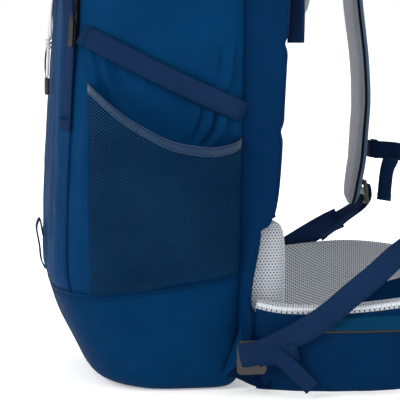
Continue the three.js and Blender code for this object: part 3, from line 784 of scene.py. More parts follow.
def spacer_mesh(name, yarn, dark_yarn, hole_shade, wide=3.3, high=2.9, radius=0.26):
    """Knitted spacer mesh: pale yarn round small holes darkened with painted shade, soft and matt."""
    material, tree, shader = new_material(name)
    place = wire(tree, "ShaderNodeTexCoord").outputs["UV"]
    holes = wire(tree, "ShaderNodeGroup", node_tree=spacer_group)
    tree.links.new(place, holes.inputs["Map"])
    holes.inputs["Wide"].default_value, holes.inputs["High"].default_value = wide, high
    holes.inputs["Radius"].default_value = radius
    drift = wire(tree, "ShaderNodeGroup", node_tree=drift_group)
    tree.links.new(place, drift.inputs["Map"])
    drift.inputs["Patch"].default_value, drift.inputs["Crumple"].default_value = 14, 260
    shades = wire(tree, "ShaderNodeMix", data_type="RGBA",
                  inputs={"Factor": drift.outputs["Patches"], COLOUR_A: dark_yarn, COLOUR_B: yarn})
    # The holes' dark colour is painted shade for the recess in each hole.
    pierced = wire(tree, "ShaderNodeMix", data_type="RGBA",
                   inputs={"Factor": holes.outputs["Hole"], COLOUR_A: shades.outputs[COLOUR_MIXED],
                           COLOUR_B: hole_shade})
    tree.links.new(pierced.outputs[COLOUR_MIXED], shader.inputs["Base Color"])
    fuzz = wire(tree, "ShaderNodeBump", {"Height": drift.outputs["Crumples"], "Strength": 0.3,
                                         "Distance": 0.0006})
    bump = wire(tree, "ShaderNodeBump", {"Height": holes.outputs["Height"], "Strength": 0.8,
                                         "Distance": 0.0008, "Normal": fuzz.outputs[0]})
    tree.links.new(bump.outputs[0], shader.inputs["Normal"])
    rough = wire(tree, "ShaderNodeMapRange", {"Value": drift.outputs["Crumples"], "To Min": 0.8,
                                              "To Max": 0.95})
    tree.links.new(rough.outputs[0], shader.inputs["Roughness"])
    shader.inputs["Sheen Weight"].default_value = 0.2
    shader.inputs["Specular IOR Level"].default_value = 0.2
    return material


hem_knit = spacer_mesh("hem_knit", rgb(24, 58, 90), rgb(17, 48, 78), rgb(8, 30, 52), 3.0, 1.6, 0.24)
# A near-black navy for the sheet behind the pocket mesh: painted shade.
pocket_painted_shade = woven("pocket_painted_shade", rgb(4, 22, 42), rgb(8, 30, 54), (1300, 1300), 0.7)
pocket_knit = woven("pocket_knit", rgb(13, 42, 70), rgb(24, 58, 88), (1700, 1100), 0.6, bump=0.5)
SIDES = ((1, "right"), (-1, "left"))
for side, name in SIDES:
    vertices, faces = [], []
    for i in range(int(220 / HOLE_HIGH)):
        z = 99 + i * HOLE_HIGH
        for j in range(int((POCKET_REAR - POCKET_FRONT) / HOLE_WIDE) + 1):
            y = POCKET_FRONT + (j + 0.5 * (i % 2)) * HOLE_WIDE
            if z < seam_height(y) + 1 or z > through(POCKET_HEM, y) - 7 or y > POCKET_REAR:
                continue
            first = len(vertices)
            for size, sink in ((1, 0), (0.6, -0.15)):
                for across, up in ((0.5, 0), (0, 1), (-0.5, 0), (0, -1)):
                    at = min(POCKET_REAR, max(POCKET_FRONT, y + across * size * HOLE_WIDE))
                    place = pocket_place(at, z + up * size * HOLE_HIGH, sink)
                    vertices.append((side * place.x * MM, place.y * MM, place.z * MM))
            for k in range(4):
                ring = (first + k, first + (k + 1) % 4, first + 4 + (k + 1) % 4, first + 4 + k)
                faces.append(ring if side > 0 else ring[::-1])
    mesh = bpy.data.meshes.new(f"side_pocket_{name}_mesh")
    mesh.from_pydata(vertices, [], faces)
    work = bmesh.new()
    work.from_mesh(mesh)
    bmesh.ops.remove_doubles(work, verts=work.verts, dist=2e-5)
    uv = work.loops.layers.uv.new("UVMap")
    for face in work.faces:
        for loop in face.loops:
            loop[uv].uv = (loop.vert.co.y, loop.vert.co.z)
    work.to_mesh(mesh)
    work.free()
    net = bpy.data.objects.new(mesh.name, mesh)
    scene.collection.objects.link(net)
    net.data.materials.append(pocket_knit)
    thicken(net, 0.0006)
    fix(net, "pack", "pocket_mesh", f"side_pocket_{name}")

    ys = np.linspace(POCKET_FRONT, POCKET_REAR, 90)
    # A dark sheet just off the side panel, behind the mesh, is painted shade: the shadow inside the pocket seen
    # through its holes.
    back = []
    for t in np.linspace(0, 1, 50):
        row = []
        for y in ys[1:-1]:
            z = seam_height(y) + 2 + (through(POCKET_HEM, y) - 12 - seam_height(y)) * t
            lift = side_lift(y, z) * min(1, (y - POCKET_FRONT) / 10, (POCKET_REAR - y) / 10)
            row.append(Vector((side * (side_x(y, z) + 2.0 + max(0, lift)), y, z)))
        back.append(row)
    painted_shade_sheet = grid_piece(f"pocket_painted_shade_sheet_{name}", faced(back, side), pocket_painted_shade)
    fix(thicken(painted_shade_sheet, 0.0005), "pack", "pack_fabric")
    folded = ((9, 0.5), (8.6, 1.0), (4.5, 1.3), (0.6, 1.2), (0, 0.6), (0.6, -0.4), (8.6, -0.9))
    band = [mirror([pocket_place(y, through(POCKET_HEM, y) - down, out) for y in ys], side)
            for down, out in folded]
    hem = grid_piece(f"pocket_hem_{name}", faced(band, side), hem_knit)
    fix(thicken(hem, 0.0004), "pack", "pocket_mesh")
    runs = []
    for down in (1.6, 7.6):
        points = mirror([pocket_place(y, through(POCKET_HEM, y) - down, 1.6) for y in ys], side)
        outs = [Vector((side, 0, 0))] * len(points)
        runs.append(stitch_row("stitch", (points, outs), navy_thread))
    fix(joined(f"pocket_stitch_{name}", runs), "pack", "pocket_mesh")

# ---------------------------------------------------------------------------------------------
# Compression straps: 21 mm webbing sewn in the rear side seam and under the front zip, lying
# slack over each side panel. Both ends are folded under and tacked.
# ---------------------------------------------------------------------------------------------

navy_webbing = woven("navy_webbing", rgb(23, 41, 70), rgb(29, 50, 80), (480, 760), 0.72,
                     bump=0.9, crumple=0.15)
SLIM_WEBBING = 20
WIDE_WEBBING = 25


def strap_piece(name, route, across, width, steps=60, thickness=1.6, hem=(0, 0), side=1, crown=0.0):
    """Flat webbing along a smooth route in millimetres, its width turned by across(share)."""
    places, tangents = centripetal(route, steps)
    rows = []
    for i, (place, along) in enumerate(zip(places, tangents)):
        u = i / steps
        wide = Vector(across(u))
        wide = (wide - along * wide.dot(along)).normalized()
        out = along.cross(wide)
        folded = 2 if u * steps < hem[0] or (1 - u) * steps < hem[1] else 1
        half = thickness * folded / 2
        ring = []
        for c in (-1, -0.97, -0.5, 0, 0.5, 0.97, 1):
            rise = crown * (1 - c * c) + 0.12 * noise.noise(Vector((i * 0.35, c * 2, width)))
            ring.append(place + wide * (c * width / 2) + out * ((half if abs(c) < 1 else 0) + rise))
        for c in (0.97, 0.5, 0, -0.5, -0.97):
            rise = crown * (1 - c * c) + 0.12 * noise.noise(Vector((i * 0.35, c * 2, width)))
            ring.append(place + wide * (c * width / 2) + out * (rise - half))
        rows.append(ring)
    for end, row in ((0, rows[0]), (len(rows) + 1, rows[-1])):
        middle = [(p + row[(12 - k) % 12]) / 2 for k, p in enumerate(row)]
        rows.insert(end, middle)
    rows = faced([mirror(row, side) for row in rows], side)
    return grid_piece(name, rows, navy_webbing, closed_round=True)


def tack(name, centre, wide, along, size, material):
    """A bar of close zigzag stitches, size long and 2 mm broad, across webbing."""
    wide, along, centre = Vector(wide).normalized(), Vector(along).normalized(), Vector(centre)
    out = wide.cross(along).normalized()
    step = 1.1
    count = int(size / step)
    points = [centre + wide * (size * (k / count - 0.5)) + along * (step if k % 2 else -step) + out * 0.1
              for k in range(count + 1)]
    return tube_piece(name, points, 0.42, material, count * 3, 6)


for side, name in SIDES:
    route = []
    for y in (-76, -68, -58, -40, -10, 25, 55, 78, 85):
        z = strap_height(y)
        route.append((side_x(y, z) + 3.4 + 0.5 * math.sin(y * 0.11), y, z))
    strap = strap_piece(f"compression_strap_{name}", route, lambda u: (0, 0.42, 1), 21, 90, side=side)
    fix(strap, "pack", "webbing", f"compression_strap_{name}")
    bars = []
    for y in (-71, 81):
        place = Vector((side * (side_x(y, strap_height(y)) + 4.4), y, strap_height(y)))
        bars.append(tack("tack", place, (0, 0.42, 1), (0, 1, -0.42), 18, navy_thread))
    fix(joined(f"compression_tacks_{name}", bars), "pack", "webbing")

# ---------------------------------------------------------------------------------------------
# Front access zip: black tape and a moulded coil, sewn into the right front seam, with a worn
# metal slider.
# ---------------------------------------------------------------------------------------------

zip_black = woven("zip_black", rgb(12, 13, 18), rgb(24, 26, 34), (1600, 1600), 0.6)
coil_black = moulded_plastic("coil_black", rgb(20, 20, 24), 0.35)
metal_grey, metal_tree, metal_shader = new_material("brushed_metal")
brushed = wire(metal_tree, "ShaderNodeTexNoise", {"Scale": 900, "Detail": 3})
worn = wire(metal_tree, "ShaderNodeValToRGB", {"Fac": brushed.outputs[0]})
worn.color_ramp.elements[0].color = rgb(46, 45, 47)
worn.color_ramp.elements[1].color = rgb(78, 76, 76)
metal_tree.links.new(worn.outputs[0], metal_shader.inputs["Base Color"])
metal_rough = wire(metal_tree, "ShaderNodeMapRange", {"Value": brushed.outputs[0],
                                                      "To Min": 0.22, "To Max": 0.42})
metal_tree.links.new(metal_rough.outputs[0], metal_shader.inputs["Roughness"])
metal_shader.inputs["Metallic"].default_value = 1

access_low, access_high = skin(ZIP_ANGLE, 352), skin(ZIP_ANGLE, 542)
access_out = Vector((0.62, -0.78, 0)).normalized()


def coil_teeth(name, start, end, across, out, wide=3.0, pitch=1.7):
    """The interlocked coil of a closed zip: one small bump for each pair of turns."""
    start, end = Vector(start), Vector(end)
    across, out = Vector(across).normalized(), Vector(out).normalized()
    count = int((end - start).length / pitch)
    along = (end - start).normalized()
    vertices, faces = [], []
    for k in range(count):
        centre = start + (end - start) * ((k + 0.5) / count)
        first = len(vertices)
        for step, rise in ((-0.42, 0), (-0.28, 0.9), (0.28, 0.9), (0.42, 0)):
            for c, high in ((-0.5, 0.35), (-0.3, 1), (0.3, 1), (0.5, 0.35)):
                lean = 0.3 * (1 if k % 2 else -1) * c
                off = along * (step + lean) * pitch + across * c * wide + out * rise * high
                vertices.append(tuple((centre + off) * MM))
        for r in range(3):
            for c in range(3):
                a = first + r * 4 + c
                faces.append((a, a + 1, a + 5, a + 4))
    piece = mesh_piece(name, vertices, faces, coil_black)
    piece.data.shade_smooth()
    return thicken(piece, 0.0003)


access_along = (access_high - access_low).normalized()
access_across = access_along.cross(access_out).normalized()
ACCESS_ASIDE = 3
# The tape's section: across the seam from it, and out from it.
ACCESS_TAPE = ((0.4, -1.6), (1, -0.2), (1.8, 0.4), (3, 0.5), (4.2, 0.4), (5.2, 0.0), (6.4, -1.6))
tape_rows = []
for k in range(61):
    middle = access_low + (access_high - access_low) * (k / 60) + access_out * 3.4
    wave = 0.35 * math.sin(k * 0.9)
    tape_rows.append([middle + access_across * x + access_out * (z + wave * abs(x) / 8)
                      for x, z in ACCESS_TAPE])
tape = thicken(grid_piece("access_zip_tape", tape_rows, zip_black), 0.0008)
fix(tape, "pack", "zip_tape", "access_zip")
coil_ends = [end + access_out * 4.0 + access_across * ACCESS_ASIDE for end in (access_low, access_high)]
access_coil = coil_teeth("access_zip_coil", *coil_ends, access_across, access_out)
fix(access_coil, "pack", "zip_tape")
access_slider = eased("access_zip_slider", "access_slider", metal_grey, 0.0004)
access_slider.data.transform(Matrix.Translation(access_across * ACCESS_ASIDE * MM))
eased("lid_zip_slider", "lid_slider", dark_plastic, 0.0004)

# ---------------------------------------------------------------------------------------------
# Collar: the soft skirt above the bag, gathered by a black drawcord that runs in its hem and
# is held by a spring cord lock.
# ---------------------------------------------------------------------------------------------

collar_nylon = woven("collar_nylon", rgb(12, 50, 88), rgb(18, 60, 100), (1300, 1300), 0.6, crumple=0.6)


COLLAR_TALL = 52


def collar_point(degrees, z, out=0.0):
    """A place on the gathered collar."""
    high = (z - BAG_TOP) / COLLAR_TALL
    drawn = 1 - 0.18 * high ** 2
    edge = skin(degrees, BAG_TOP, -2 + out)
    middle = (front_y(BAG_TOP) + rear_y(BAG_TOP)) / 2
    pleat = 2.2 * high * math.sin(math.radians(degrees) * 34 + 2 * math.sin(math.radians(degrees) * 5))
    reach = drawn * (1 + (pleat - 1.2) / 140)
    return Vector((edge.x * reach, middle + (edge.y - middle) * reach, z))


collar_levels = [(BAG_TOP + COLLAR_TALL * k / 16, 0) for k in range(17)]
collar_levels += [(612.6, -1.4), (611, -2.6), (596, -2.6)]
rows = [[collar_point(360 * j / 260, z, out) for j in range(260)] for z, out in collar_levels]
collar = thicken(grid_piece("collar_cloth", rows, collar_nylon, closed_round=True), 0.0008)
fix(collar, "pack", "pack_fabric", "collar")


def recoat(node_name, material):
    """Gives a CAD solid that keeps its shape a finished material."""
    node = frame["nodes"][node_name]
    node.data.materials.clear()
    node.data.materials.append(material)


for node_name in ("cord_lock_body", "cord_lock_button"):
    eased(node_name, f"{node_name}_moulding", dark_plastic, 0.0012)
frame_black = moulded_plastic("frame_black", rgb(26, 27, 30), 0.5)
recoat("frame_sheet", frame_black)
for node_name in ("frame_stay_right", "frame_stay_left"):
    recoat(node_name, metal_grey)
low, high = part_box("drawcord")
cord_z = (low.z + high.z) / 2 / MM
stand_off = high.x / MM - 1.5 - collar_point(0, cord_z).x
cord_ring = [collar_point(a, cord_z + 0.5 * math.sin(a * 0.4), stand_off + 0.3 * math.sin(a * 0.9))
             for a in np.linspace(-85.5, 265.5, 120)]
fix(tube_piece("drawcord_braid", cord_ring, 1.5, black_cord, 360), "pack", "cord", "drawcord")

# ---------------------------------------------------------------------------------------------
# Lid: a stuffed pocket with a band round it, sewn to a wide tongue at the back and held down
# by two straps. A zip in the band's front closes its pocket.
# ---------------------------------------------------------------------------------------------

LID_MIDDLE_Y = 17
LID_HALF_WIDTH = 142
LID_HALF_DEPTH = 126


def lid_point(reach, degrees, z):
    """A place on the lid's rounded square outline, at a share of its full reach."""
    c, s = math.cos(math.radians(degrees)), math.sin(math.radians(degrees))
    square = (c ** 4 + s ** 4) ** -0.25 * reach
    return Vector((LID_HALF_WIDTH * square * c, LID_MIDDLE_Y + LID_HALF_DEPTH * square * s, z))


# The lid's section from its inner rim, round the band and over the top: reach and height.
LID_RINGS = [
    (0.90, 618), (0.925, 604), (0.945, 592), (0.965, 590), (0.985, 592), (0.998, 603), (1.0, 616),
    (0.996, 628), (0.975, 644), (0.945, 651), (0.90, 656.5), (0.84, 660), (0.74, 664), (0.6, 667),
    (0.45, 668.5), (0.25, 669.3), (0.0008, 669.5),
]
reaches, heights = (list(enumerate(column)) for column in zip(*LID_RINGS))
rows = []
for k in range(3 * (len(LID_RINGS) - 1) + 1):
    reach, z = through(reaches, k / 3), through(heights, k / 3)
    row = []
    for j in range(220):
        degrees = 360 * j / 220
        place = lid_point(reach, degrees, z)
        soft = 1.6 * noise.noise(place * 0.022) + 0.9 * noise.noise(place * 0.06)
        pucker = 0.5 * math.sin(math.radians(degrees) * 90) * math.exp(-(((z - 646) / 6) ** 2))
        pucker *= reach > 0.9
        away_from_rim = min(1, max(0, (z - 592) / 20))
        outward = Vector((place.x, place.y - LID_MIDDLE_Y, 0)).normalized()
        steep = smooth_step(reach, 0.8, 0.97)
        place += outward * (soft * away_from_rim + pucker) * steep
        place.z += (soft * 1.3 - 1.2) * (1 - steep)
        row.append(place)
    rows.append(row)
lid_cloth = thicken(grid_piece("lid_cloth", rows, pack_nylon, closed_round=True), 0.0012)
fix(lid_cloth, "lid", "pack_fabric", "lid_shell")
lid_seams = []
for reach, z in ((0.968, 647.5), (1.003, 600)):
    ring = [lid_point(reach, 360 * j / 90, z) for j in range(91)]
    lid_seams.append(tube_piece("lid_piping", ring, 1.4, piping_navy, 360, 8))
fix(joined("lid_piping", lid_seams), "lid", "pack_fabric")
LID_ZIP_Z = 632
lid_zip_y = LID_MIDDLE_Y - LID_HALF_DEPTH * 1.02 - 1.4
tape_rows = []
for k in range(81):
    x = -86 + 172 * k / 80
    tape_rows.append([Vector((x, lid_zip_y - 0.3 - 0.3 * math.sin(x * 0.3) + sink, LID_ZIP_Z + rise))
                      for rise, sink in ((-7, 0.6), (-4, 0.2), (-1.5, 0), (1.5, 0), (4, 0.2), (7, 0.6))])
lid_tape = thicken(grid_piece("lid_zip_tape", tape_rows, zip_black), 0.0008)
fix(lid_tape, "lid", "zip_tape", "lid_zip")
coil_ends = [(x, lid_zip_y - 0.8, LID_ZIP_Z) for x in (-84, 84)]
fix(coil_teeth("lid_zip_coil", *coil_ends, (0, 0, 1), (0, -1, 0)), "lid", "zip_tape")
TONGUE_LOW, TONGUE_HIGH = 548.5, 606
tongue_rows = []
for k in range(31):
    v = k / 30
    z = TONGUE_LOW + (TONGUE_HIGH - TONGUE_LOW) * v
    wide = 84 - 13 * (1 - smooth_step(v, 0.03, 0.15))
    row = []
    for j in range(61):
        slack = 0.7 * noise.noise(Vector((j * 0.2, k * 0.2, 5)))
        row.append(Vector((wide * (j / 30 - 1), 146.9 + 2.6 * v + slack, z)))
    tongue_rows.append(row)
tongue = thicken(grid_piece("lid_tongue", tongue_rows, pack_nylon), 0.0014)
fix(tongue, "lid", "pack_fabric", "lid_hinge_panel")

# ---------------------------------------------------------------------------------------------
# Lid straps: 20 mm webbing that comes down from the lid to side-release buckles, and from the
# buckles on as long adjusting tails with a folded end.
# ---------------------------------------------------------------------------------------------

LID_STRAP_X = 72
lid_strap_y = front_y(548) - 12
for side, name in SIDES:
    upper = [(LID_STRAP_X, y, z) for y, z in (
        (lid_strap_y, 551), (lid_strap_y, 566), (lid_strap_y - 5, 580), (-118.5, 598), (-120, 618))]
    fix(strap_piece(f"lid_strap_{name}", upper, lambda u: (1, 0, 0), SLIM_WEBBING, 40, side=side),
        "lid", "webbing", f"lid_strap_{name}")
    tail = [(LID_STRAP_X, lid_strap_y, 503), (84, -97, 462), (102, -90.5, 420), (105, -87.5, 380),
            (104, -87.5, 340), (102.5, -89.5, 300), (101, -91, 265)]
    turn = lambda u: (1, 0.45 * smooth_step(u, 0.1, 0.5), 0)
    fix(strap_piece(f"lid_strap_tail_{name}", tail, turn, SLIM_WEBBING, 110, 1.5, (0, 6), side),
        "pack", "webbing", f"lid_strap_tail_{name}")
    end = tack("tail_tack", (side * 101.0, -92.6, 277), (side, 0.45, 0), (0, 0, 1), 18, navy_thread)
    end.name = f"lid_strap_tail_tack_{name}"
    fix(end, "pack", "webbing")
    eased(f"lid_buckle_male_{name}", f"lid_buckle_tongue_{name}", dark_plastic, 0.0006)
    eased(f"lid_buckle_female_{name}", f"lid_buckle_socket_{name}", dark_plastic, 0.0006)

# ---------------------------------------------------------------------------------------------
# Tool loop: slim webbing folded into a loop low on the front for a tool's head, and the tab
# higher up that anchors the tool cord.
# ---------------------------------------------------------------------------------------------

loop_route = [(0, front_y(z) - 1.4 - out, z) for out, z in
              ((0.6, 112), (3.4, 120), (4.6, 136), (7.6, 158), (4.4, 164.5), (2.6, 157), (0.6, 146))]
fix(strap_piece("tool_loop", loop_route, lambda u: (1, 0, 0), SLIM_WEBBING, 60, 1.5),
    "pack", "webbing", "tool_loop")
tab_route = [(TOOL_CORD_X, front_y(z) - out, z) for out, z in
             ((1, 420), (2.6, 412), (5.4, 405), (4.4, 399), (2.0, 404), (1, 410))]
fix(strap_piece("tool_cord_tab", tab_route, lambda u: (1, 0, 0), 15, 36, 1.2), "pack", "webbing")

# ---------------------------------------------------------------------------------------------
# Back pad: two foam columns under spacer mesh with an air channel between them, its sides
# faced with a darker copy of the bag's nylon that paints shade on them, and its edges bound in navy.
# ---------------------------------------------------------------------------------------------

pale_spacer = spacer_mesh("pale_spacer", rgb(188, 193, 199), rgb(170, 176, 183),
                          rgb(96, 103, 112), radius=0.2)
grey_spacer = spacer_mesh("grey_spacer", rgb(140, 145, 151), rgb(128, 133, 139),
                          rgb(92, 97, 104), 2.9, 2.5, 0.17)
grey_thread = woven("grey_thread", rgb(150, 154, 160), rgb(170, 174, 180), (2000, 2000), 0.7)


def fullness(a, u, edge):
    """How thick a pad is at shares a and u of its width and height, each from -1 to 1."""
    return edge + (1 - edge) * math.sqrt(max(0, (1 - a ** 6) * (1 - u ** 6)))


PAD_HALF = 137


def back_face_y(z):
    """The middle of the back pad's rear face, where the wearer's back rests."""
    return 115.4 + 0.05 * z


def back_pad_y(x, z):
    """The rear face of the back pad: two columns beside a channel, with soft cross creases."""
    across = x / PAD_HALF
    up = (z - 176) / 190 - 1
    channel = 9 * math.exp(-((6 * across) ** 2)) + 3 * across ** 8
    column = 3.6 * math.sqrt(max(0, 1 - (2 * abs(across) - 1) ** 2))
    cross = sum(3.0 * math.exp(-(((z - seat) / 5) ** 2)) for seat in (262, 352, 446))
    end = 5 * up ** 10
    return back_face_y(z) - channel + column - 1.6 - cross * (abs(across) > 0.2) - end


rows = []
for k in range(121):
    z = min(555.4, max(176.6, 176 + 380 * k / 120))
    row = []
    for j in range(101):
        x = PAD_HALF * (j / 50 - 1)
        row.append(Vector((x, back_pad_y(x, z), z)))
    rows.append(row[::-1])
binding_navy = woven("binding_navy", rgb(20, 34, 66), rgb(28, 44, 78), (900, 500), 0.7)
# The gusset cloth is the bag's nylon made darker: painted shade for the rear strip of the side, which lies in shadow.
gusset_nylon_painted_shade = woven("gusset_nylon_painted_shade", rgb(2, 38, 70), rgb(6, 46, 80), (1300, 1300), 0.62)
back_spacer = grid_piece("back_pad_spacer", rows, pale_spacer)
fix(thicken(back_spacer, 0.002), "pack", "spacer_mesh", "back_pad")
gussets = []
for side in (1, -1):
    rows = []
    for k in range(131):
        z = 20 + 535.4 * k / 130
        seam = skin(REAR_ANGLE, max(z, 30), -0.6)
        back = 93 + 10 * smooth_step(z, 92, 166) + 9 * (1 - smooth_step(z, 68, 92))
        if z > 166:
            back = min(back_pad_y(PAD_HALF, max(z, 172)), 103 + (z - 166) * 3.4)
        row = []
        for j in range(19):
            t = j / 18
            y = seam.y - 2.5 + (back - seam.y + 2.5) * t
            bow = 1.6 * math.sin(math.pi * t) + 1.1 * noise.noise(Vector((t * 2.2, z * 0.017, 4)))
            bow += 1.2 * math.exp(-(((z - 300 - 60 * t) / 14) ** 2)) * t
            start = seam.x + 1.4
            x = start + (PAD_HALF + 0.6 - start) * min(1, t * 1.6) + bow
            row.append(Vector((side * x, y, z)))
        rows.append(row)
    gussets.append(thicken(grid_piece("gusset", faced(rows, side), gusset_nylon_painted_shade), 0.001))
fix(joined("back_pad_gussets", gussets), "pack", "pack_fabric")
bindings = []
for side in (1, -1):
    line = [(side * PAD_HALF, back_pad_y(PAD_HALF, z) + 0.3, z) for z in np.linspace(177, 555, 40)]
    bindings.append(tube_piece("binding", line, 1.2, binding_navy, 160, 10))
for z in (177.4, 554.8):
    line = [(x, back_pad_y(x, z) + 0.2, z) for x in np.linspace(-136, 136, 60)]
    bindings.append(tube_piece("binding", line, 1.2, binding_navy, 200, 10))
fix(joined("back_pad_binding", bindings), "pack", "pack_fabric")
caps = []
for z, way in ((555, -1), (177, 1)):
    start = rear_y(z) + 0.4
    rows = [[Vector((x, start + (back_pad_y(x, z) - start) * t, z))
             for x in np.linspace(-PAD_HALF, PAD_HALF, 41)] for t in (0, 0.5, 1)]
    caps.append(thicken(grid_piece("cap", faced(rows, way), pack_nylon), 0.001))
fix(joined("back_pad_ends", caps), "pack", "pack_fabric")

# ---------------------------------------------------------------------------------------------
# Lumbar pad: a thick foam cushion under the back pad, wrapped in the same spacer mesh and
# stitched down at its rim, that rests in the small of the back.
# ---------------------------------------------------------------------------------------------


def cushion(name, place, columns, rows, material):
    """A closed pad: place(u, v, w) gives its base face at w 0 and its crowned face at w 1."""
    made = []
    for i in range(rows + 1):
        v = i / rows
        front = [place(j / columns, v, 1) for j in range(columns + 1)]
        back = [place(j / columns, v, 0) for j in range(columns + 1)]
        right, left = ([place(u, v, w) for w in (0.25, 0.5, 0.75)] for u in (1, 0))
        made.append(front + right[::-1] + back[::-1] + left)
    for v in (0, 1):
        for shrink in (0.9, 0.5, 0.02):
            low = [place(j / columns, v, 0.5 + shrink / 2) for j in range(columns + 1)]
            back = [place(j / columns, v, 0.5 - shrink / 2) for j in range(columns + 1)]
            ring = low + [place(1, v, 0.5 + shrink * s) for s in (0.25, 0, -0.25)]
            ring += back[::-1] + [place(0, v, 0.5 - shrink * s) for s in (0.25, 0, -0.25)]
            made.insert(0 if v == 0 else len(made), ring)
    return grid_piece(name, made, material, closed_round=True)


def lumbar_place(u, v, w):
    """A place in the lumbar pad, at shares of its width, height and depth."""
    a, up = 2 * u - 1, 2 * v - 1
    z = 19 + 150 * v
    round_corner = 1 - 0.05 * up ** 8
    depth = 46.5 * fullness(a, up, 0.72) * w
    dent = 1.0 * noise.noise(Vector((u * 5, v * 4, 9))) * w + 4 * math.exp(-((a * 4.5) ** 2)) * w
    x = 127 * a * round_corner + 1.2 * a * math.sin(math.pi * w)
    return Vector((x, rear_y(z) + 0.8 + depth - dent, z))


lumbar = cushion("lumbar_cushion", lumbar_place, 70, 50, pale_spacer)
fix(lumbar, "pack", "spacer_mesh", "lumbar_pad")

# ---------------------------------------------------------------------------------------------
# Shoulder yoke: the padded root of both shoulder straps, sewn to the back pad between the
# shoulder blades and bound at its rim.
# ---------------------------------------------------------------------------------------------

binding_black = woven("binding_black", rgb(14, 17, 26), rgb(26, 30, 42), (900, 500), 0.7)


def yoke_place(u, v, w):
    """A place in the yoke, at shares of its width, height and depth."""
    a, up = 2 * u - 1, 2 * v - 1
    z = 378.5 + 99 * v
    across = 79.5 * a * (0.86 + 0.14 * v)
    return Vector((across, back_face_y(z) + 0.6 + 34.5 * fullness(a, up, 0.6) * w, z))


yoke = cushion("yoke_cushion", yoke_place, 40, 26, grey_spacer)
fix(yoke, "pack", "spacer_mesh", "shoulder_yoke")
rim = []
for a, b in (((0, 0), (1, 0)), ((1, 0), (1, 1)), ((1, 1), (0, 1)), ((0, 1), (0, 0))):
    for k in range(20):
        u, v = a[0] + (b[0] - a[0]) * k / 20, a[1] + (b[1] - a[1]) * k / 20
        rim.append(yoke_place(u, v, 0.45))
rim.append(rim[0])
fix(tube_piece("yoke_binding", rim, 1.6, binding_black, 240, 8), "pack", "spacer_mesh")

# ---------------------------------------------------------------------------------------------
# Shoulder straps: foam in spacer mesh with a nylon cover on the outside, in one curve from the
# yoke over the shoulder to a narrow tip, bound along both edges.
# ---------------------------------------------------------------------------------------------

ARCH = [(58, 148, 444), (60, 151, 476), (64, 166, 499), (70, 190, 508), (76, 214, 501),
        (81, 230, 486), (84.4, 237.6, 473.5)]
DROP = [(93, 245.5, 440), (104, 250, 398), (115, 260.5, 332), (119, 264, 284), (120, 262, 246),
        (120, 260, 215), (120, 255, 182), (120, 254, 164)]


def strap_width(u):
    """How wide the shoulder strap is along its length, narrowing to its tip."""
    return through([(0, 58), (0.35, 60), (0.6, 59), (0.82, 55), (0.93, 44), (0.985, 26), (1, 14)], u)


strap_cover = woven("strap_cover", rgb(66, 84, 106), rgb(80, 98, 118), (1300, 1300), 0.62)
STRAP_STEPS = 150
# How much further to the rear each strap hangs below the shoulder.
STRAP_AHEAD = {"right": 17, "left": 0}


def strap_frame(i, place, along):
    """The width direction, outward direction, half width and thickness at a step of a strap."""
    u = i / STRAP_STEPS
    wide = Vector((1, 0, 0))
    wide = (wide - along * wide.dot(along)).normalized()
    out = wide.cross(along).normalized()
    if out.y < 0 and i > 60:
        out = -out
    thick = 13 * min(1, (1 - u) * 14 + 0.45) * min(1, u * 12 + 0.5)
    return wide, out, strap_width(u) / 2, thick


